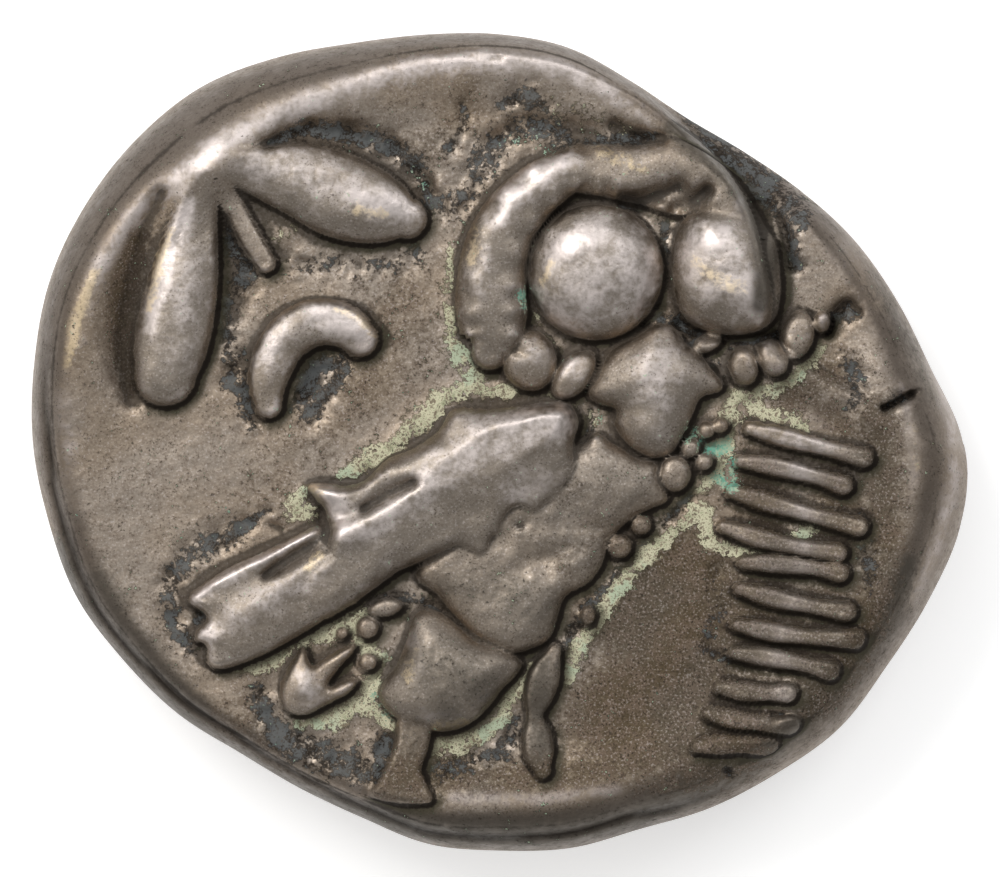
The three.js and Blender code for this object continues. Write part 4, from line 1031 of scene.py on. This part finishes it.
def toned_silver(finish):
    """Worn, toned silver: bright where it stands proud, brown on the ground, with deposits in recesses; with
    painted highlights toward the key light, painted shadow on each figure's far side, and painted shade in
    creases, on the rim's outer slope and over the lower right.
    """
    s = Shader("worn toned silver")
    relief, depth, lee = s.fact("relief"), s.fact("depth"), s.fact("lee")
    fine, broad, flank = s.fact("fine"), s.fact("broad"), s.fact("flank")
    # The worn marks carry painted highlights as well as wear; the dusk marks carry painted shade as well as
    # toning.
    worn, dusk = s.fact("worn"), s.fact("dusk")
    grain, cloud, drift = s.noise(7.0, 3.0, 0.65), s.noise(2.0, 2.0, 0.6), s.noise(0.45, 1.0)
    speckle = s.noise(17.0, 1.0, 0.6)
    ragged = (grain - 0.5) * 3.4 + (cloud - 0.5) * 2.4

    figure = depth.ramp(-0.04, 0.08)
    raised = relief.ramp(0.2, 0.65) * figure
    ground = 1.0 - figure
    # Bright silver where the surface stands proud and is worn, and painted highlight where the worn marks
    # and the rim's crest face the key light.
    proud = fine * -1.8 - broad * 0.3 + worn * 0.75 - dusk * 0.5 + (cloud - 0.5) * 1.1 + (grain - 0.5) * 0.9
    proud = proud.ramp(0.15, 0.95)
    toned = s.mix(drift.ramp(0.35, 0.65), finish.tone_warm, finish.tone_grey)
    toned = s.mix(grain.ramp(0.42, 0.66) * 0.4, toned, finish.tone_dark)
    toned = s.mix(raised * 0.8, toned, finish.figure)
    toned = s.mix(speckle.ramp(0.5, 0.72) * 0.35, toned, finish.tone_dark)
    silver = s.mix(proud.most(speckle.ramp(0.4, 0.3) * 0.3), toned, finish.bright)
    # Golden toning, and painted golden glints on lit edges.
    fringe = (s.fact("golden") + ragged * 0.5).ramp(0.4, 1.0)
    silver = s.mix(fringe * 0.5, silver, finish.gold)
    # Painted shade on the rim's outer slope, from the crest outward; eased on the outermost band and where
    # the silver is worn.
    edge = flank.ramp(-0.1, 0.3) * (1.0 - flank.ramp(0.75, 1.0) * 0.7) * (1.0 - worn * 0.8)
    silver = s.mix(edge * 0.85, silver, finish.edge)
    # Dark grey toning and painted shade from the dusk marks.
    silver = s.mix((dusk + ragged * 0.16).ramp(0.1, 0.9) * 0.85, silver, finish.dusk)

    # Darkening where the surface lies below its blur, in creases and hollows: deposit there, and painted
    # shade.
    hollow = (fine * 11.0 + broad * ground * 1.2 + ragged * 0.22).ramp(0.35, 1.0)
    # A thin dark line round each figure, darkest on its shadow side: deposit at the join, and painted
    # shadow.
    outline = depth + (grain - 0.5) * 0.12
    crease = outline.ramp(-0.11, -0.06) * outline.ramp(0.07, 0.03)
    crease = crease * (lee * 0.7 + ragged * 0.3 + 0.62 - worn * 0.4).clamped()
    # Painted shadow: the ground beside each figure darkens on the figure's side away from the key light.
    shade = depth.ramp(-0.4, -0.1) * ground * (lee * 1.7 + ragged * 0.6 - 0.2).clamped()
    # Earth; over the lower right it is painted shade too, and it reaches onto the figures.
    olive = (s.fact("olive") + ragged * 0.3).ramp(0.2, 0.8) * (1.0 - raised * 0.6)
    soot_zone = s.fact("blue_black") + ragged * 0.62
    blue = soot_zone.ramp(0.48, 0.8) * (1.0 - figure * 0.85)
    heart = soot_zone.ramp(0.66, 0.95) * (cloud * 0.6 + speckle * 0.4).ramp(0.43, 0.55)
    salts = s.fact("pale_green") + ragged * 0.6
    green = salts.ramp(0.66, 0.72) * (1.0 - depth.ramp(-0.05, 0.03))
    crust = salts.ramp(0.46, 0.62) * ground
    turquoise = (s.fact("turquoise") + (speckle - 0.5) * 1.5 + ragged * 0.5).ramp(0.55, 0.7)
    specks = (speckle.ramp(0.6, 0.7) * cloud.ramp(0.45, 0.6)).most(grain.ramp(0.63, 0.7)) * (1.0 - proud)

    earthy = s.mix((cloud * 0.45 + grain * 0.55).ramp(0.42, 0.6), finish.olive, finish.tone_dark)
    earthy = s.mix(drift.ramp(0.45, 0.6) * 0.3, earthy, finish.dusk)
    earthy = s.mix(speckle.ramp(0.56, 0.66) * 0.6, earthy, finish.soot_and_shade)
    earthy = s.mix(speckle.ramp(0.42, 0.32) * 0.25, earthy, finish.bright)
    colour = s.mix(olive * 0.9, silver, earthy)
    # Painted shade and deposit in the hollows, and dark specks.
    colour = s.mix((hollow * 0.7).most(specks * 0.6), colour, finish.soot_and_shade)
    colour = s.mix(blue * 0.85, colour, s.mix(heart, finish.soot_and_shade, finish.blue))
    earth = s.mix((cloud * 0.5 + speckle * 0.5).ramp(0.36, 0.54), finish.green, finish.cream)
    earth = s.mix(drift.ramp(0.52, 0.62) * cloud.ramp(0.48, 0.58) * 0.3, earth, finish.turquoise)
    dark_grains = (speckle.ramp(0.56, 0.64) * 0.7).most(grain.ramp(0.56, 0.62) * 0.85)
    earth = s.mix(dark_grains, earth, finish.tone_dark)
    colour = s.mix(crust * 0.65, colour, finish.crust)
    colour = s.mix(green * 0.96, colour, earth)
    copper = s.mix(grain.ramp(0.45, 0.65) * 0.6, finish.turquoise, finish.cream)
    colour = s.mix(turquoise * 0.85, colour, copper)
    # Painted shadow beside each figure, in the crust colour.
    colour = s.mix(shade * 0.85, colour, finish.crust)
    # The dark outline round each figure, deposit and painted shadow, and a dark line along the lip's crease.
    colour = s.mix((crease * 0.96).most(s.fact("seam") * 0.9), colour, finish.soot_and_shade)
    # Deposits and painted shade alike make the silver less metallic and rougher.
    dirt_and_shade = (hollow * 0.6).most(blue * 0.8).most(green).most(turquoise).most(crease * 0.9).most(shade * 0.8)
    dirt_and_shade = dirt_and_shade.most(olive * 0.45).most(specks * 0.5)

    rough = finish.roughness + (cloud - 0.5) * 0.4 + (grain - 0.5) * 0.3 + dirt_and_shade * 0.3 - proud * 0.08
    height = grain * 0.55 + cloud * 1.4
    bump_sockets = {"Height": height, "Strength": finish.grain, "Distance": BUMP_DEPTH * MM}
    bump = s.node("ShaderNodeBump", {}, bump_sockets).wire("Normal")
    surface = s.node("ShaderNodeBsdfPrincipled", {}, {
        "Specular IOR Level": SILVER_SPECULAR, "Base Color": colour,
        "Metallic": 1.0 - dirt_and_shade.clamped() * 0.95, "Roughness": rough.clamped(), "Normal": bump})
    s.node("ShaderNodeOutputMaterial", {}, {"Surface": surface.wire("BSDF")})
    return s.material


def pale_floor(colour):
    """A matt pale sheet, lit a little from beneath as on a light table."""
    s = Shader("pale floor")
    lit = {"Emission Color": (*colour, 1.0), "Emission Strength": FLOOR_GLOW}
    surface = s.node("ShaderNodeBsdfPrincipled", {}, {"Base Color": (*colour, 1.0), "Roughness": 0.9, **lit})
    s.node("ShaderNodeOutputMaterial", {}, {"Surface": surface.wire("BSDF")})
    return s.material


# ---------------------------------------------------------------- what a user can change


def tint(name, description, colour):
    """A colour that the user can change."""
    return FloatVectorProperty(
        name=name, description=description, subtype="COLOR", default=colour, min=0, max=1)


def power(name, description, watts):
    """A light's power that the user can change."""
    return FloatProperty(name=name, description=description, unit="POWER", default=watts, min=0)


class CoinShape(bpy.types.PropertyGroup):
    field_height: FloatProperty(
        name="Field height", description="Height of the ground round the owl", subtype="DISTANCE",
        unit="LENGTH", default=4.9 * MM, min=3 * MM, max=5.5 * MM)


class SilverFinish(bpy.types.PropertyGroup):
    tone_warm: tint("Warm tone", "Toning on the open ground", (0.29, 0.235, 0.18))
    tone_grey: tint("Grey tone", "Cooler toning", (0.31, 0.265, 0.22))
    tone_dark: tint("Dark tone", "Grain of the toning", (0.15, 0.11, 0.08))
    figure: tint("Raised tone", "Silver of the raised figures", (0.25, 0.218, 0.184))
    # Also the colour of the painted highlights.
    bright: tint("Bright silver", "Silver where it is worn bare", (0.62, 0.557, 0.53))
    # Also the colour of the painted golden glints.
    gold: tint("Golden fringe", "Thin toning on the brightest edges", (0.85, 0.68, 0.42))
    # The colour of the painted shade on the rim's outer slope.
    edge: tint("Edge", "Darker silver of the coin's edge", (0.11, 0.09, 0.075))
    # Also the colour of the painted shade over the breast and legs, the lower rim and the fold's edge.
    dusk: tint("Dusk", "Dark grey toning", (0.085, 0.075, 0.062))
    olive: tint("Olive", "Earthy toning", (0.07, 0.05, 0.026))
    # Also the colour of the painted shadow beside the figures.
    crust: tint("Crust", "Dark rim of the pale salts", (0.05, 0.045, 0.028))
    # Also the colour of painted shade in creases and hollows and round the figures.
    soot_and_shade: tint("Soot", "Dark deposit in the recesses", (0.016, 0.012, 0.009))
    blue: tint("Blue-black", "Bluish deposit", (0.105, 0.113, 0.115))
    green: tint("Pale green", "Earth and copper salts", (0.30, 0.315, 0.2))
    cream: tint("Cream", "Lighter earth", (0.56, 0.54, 0.38))
    turquoise: tint("Turquoise", "Spots of copper green", (0.12, 0.36, 0.27))
    roughness: FloatProperty(
        name="Roughness", description="Roughness of the worn silver", default=0.52, min=0, max=1)
    grain: FloatProperty(
        name="Grain", description="Strength of the fine surface grain", default=0.6, min=0, max=1)


class StudioLight(bpy.types.PropertyGroup):
    key_power: power("Key", "Light from the upper left", 0.16)
    right_power: power("Right", "Light from the upper right", 0.08)
    left_power: power("Left", "Low warm light", 0.03)
    broad_power: power("Broad", "Wide soft light behind the key", 0.3)
    top_power: power("Top", "Faint light from above", 0.12)
    sky: FloatProperty(name="Sky", description="Brightness of the room", default=0.48, min=0, max=3)
    floor: tint("Floor", "Colour of the floor", (0.9, 0.9, 0.9))


# ---------------------------------------------------------------- operators


class COIN_OT_strike(bpy.types.Operator):
    """Build the coin as one closed surface, with its owl, legend strokes and the head on its underside"""

    bl_idname = "coin.strike"
    bl_label = "Strike the coin"

    def execute(self, context):
        shape, finish = context.scene.coin_shape, context.scene.coin_finish
        points, quads, triangles, facts = coin_surface(shape.field_height / MM)
        piece = new_mesh_object("coin", fitted(points), quads, triangles, facts)
        piece.data.materials.append(toned_silver(finish))
        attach(piece, "root")
        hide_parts(NODE)
        return {"FINISHED"}


def area_light(name, watts, target):
    """A square light from the table, aimed at the target."""
    azimuth, elevation, distance, size, colour = LIGHTS[name]
    light = bpy.data.lights.new(name, "AREA")
    light.shape, light.size, light.energy, light.color = "SQUARE", size, watts, colour
    lamp = bpy.data.objects.new(name, light)
    a, e = math.radians(azimuth), math.radians(elevation)
    way = Vector((math.cos(a) * math.cos(e), math.sin(a) * math.cos(e), math.sin(e)))
    lamp.location = target + way * distance
    lamp.rotation_euler = way.to_track_quat("Z", "Y").to_euler()
    bpy.context.scene.collection.objects.link(lamp)


class COIN_OT_stage(bpy.types.Operator):
    """Lay a pale floor, set soft studio lights and look straight down on the coin"""

    bl_idname = "coin.stage"
    bl_label = "Set the stage"

    def execute(self, context):
        scene, light = context.scene, context.scene.coin_light
        floor = floor_object(FLOOR_SIDE, pale_floor(light.floor))
        target = Vector((0, 0, EQUATOR * MM))
        for name in LIGHTS:
            area_light(name, getattr(light, name + "_power"), target)
        world = bpy.data.worlds.new("room")
        world.use_nodes = True
        background = world.node_tree.nodes["Background"]
        background.inputs["Color"].default_value = (1.0, 1.0, 1.0, 1.0)
        background.inputs["Strength"].default_value = light.sky
        scene.world = world
        scene.camera = overhead_camera()
        scene.view_settings.view_transform = "Standard"
        return {"FINISHED"}


def floor_object(side, material):
    """A square sheet of four corners, just under what the coin lies on."""
    half = side / 2
    mesh = bpy.data.meshes.new("floor")
    corners = [(-half, -half, 0), (half, -half, 0), (half, half, 0), (-half, half, 0)]
    mesh.from_pydata(corners, [], [(0, 1, 2, 3)])
    mesh.materials.append(material)
    floor = bpy.data.objects.new("floor", mesh)
    bpy.context.scene.collection.objects.link(floor)
    return floor


def overhead_camera():
    """A long lens straight above the coin, framed on its outline."""
    framed_width, middle = 25.64 * MM, (0.03 * MM, 0.09 * MM)
    camera = bpy.data.cameras.new("camera")
    camera.lens, camera.sensor_width = 400, 36
    camera.clip_start, camera.clip_end = 0.01, 10
    view = bpy.data.objects.new("camera", camera)
    height = framed_width * camera.lens / camera.sensor_width + EQUATOR * MM
    view.location = (middle[0], middle[1], height)
    bpy.context.scene.collection.objects.link(view)
    return view


# ---------------------------------------------------------------- panel and registering


class COIN_PT_panel(bpy.types.Panel):
    """The coin's sizes, finish and lights"""

    bl_idname = "COIN_PT_panel"
    bl_label = "Silver Tetradrachm"
    bl_space_type = "VIEW_3D"
    bl_region_type = "UI"
    bl_category = "Coin"

    def draw(self, context):
        scene = context.scene
        for group in (scene.coin_shape, scene.coin_finish, scene.coin_light):
            for name in group.__annotations__:
                self.layout.prop(group, name)
        for step in OPERATORS:
            self.layout.operator(step.bl_idname)


OPERATORS = (COIN_OT_strike, COIN_OT_stage)
GROUPS = {"coin_shape": CoinShape, "coin_finish": SilverFinish, "coin_light": StudioLight}


def register():
    for kind in (*GROUPS.values(), *OPERATORS, COIN_PT_panel):
        bpy.utils.register_class(kind)
    for name, group in GROUPS.items():
        setattr(bpy.types.Scene, name, PointerProperty(type=group))


def unregister():
    for name in GROUPS:
        delattr(bpy.types.Scene, name)
    for kind in (COIN_PT_panel, *reversed(OPERATORS), *reversed(GROUPS.values())):
        bpy.utils.unregister_class(kind)


def main():
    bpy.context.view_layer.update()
    register()
    bpy.ops.coin.strike()
    bpy.ops.coin.stage()


if __name__ == "__main__":
    main()
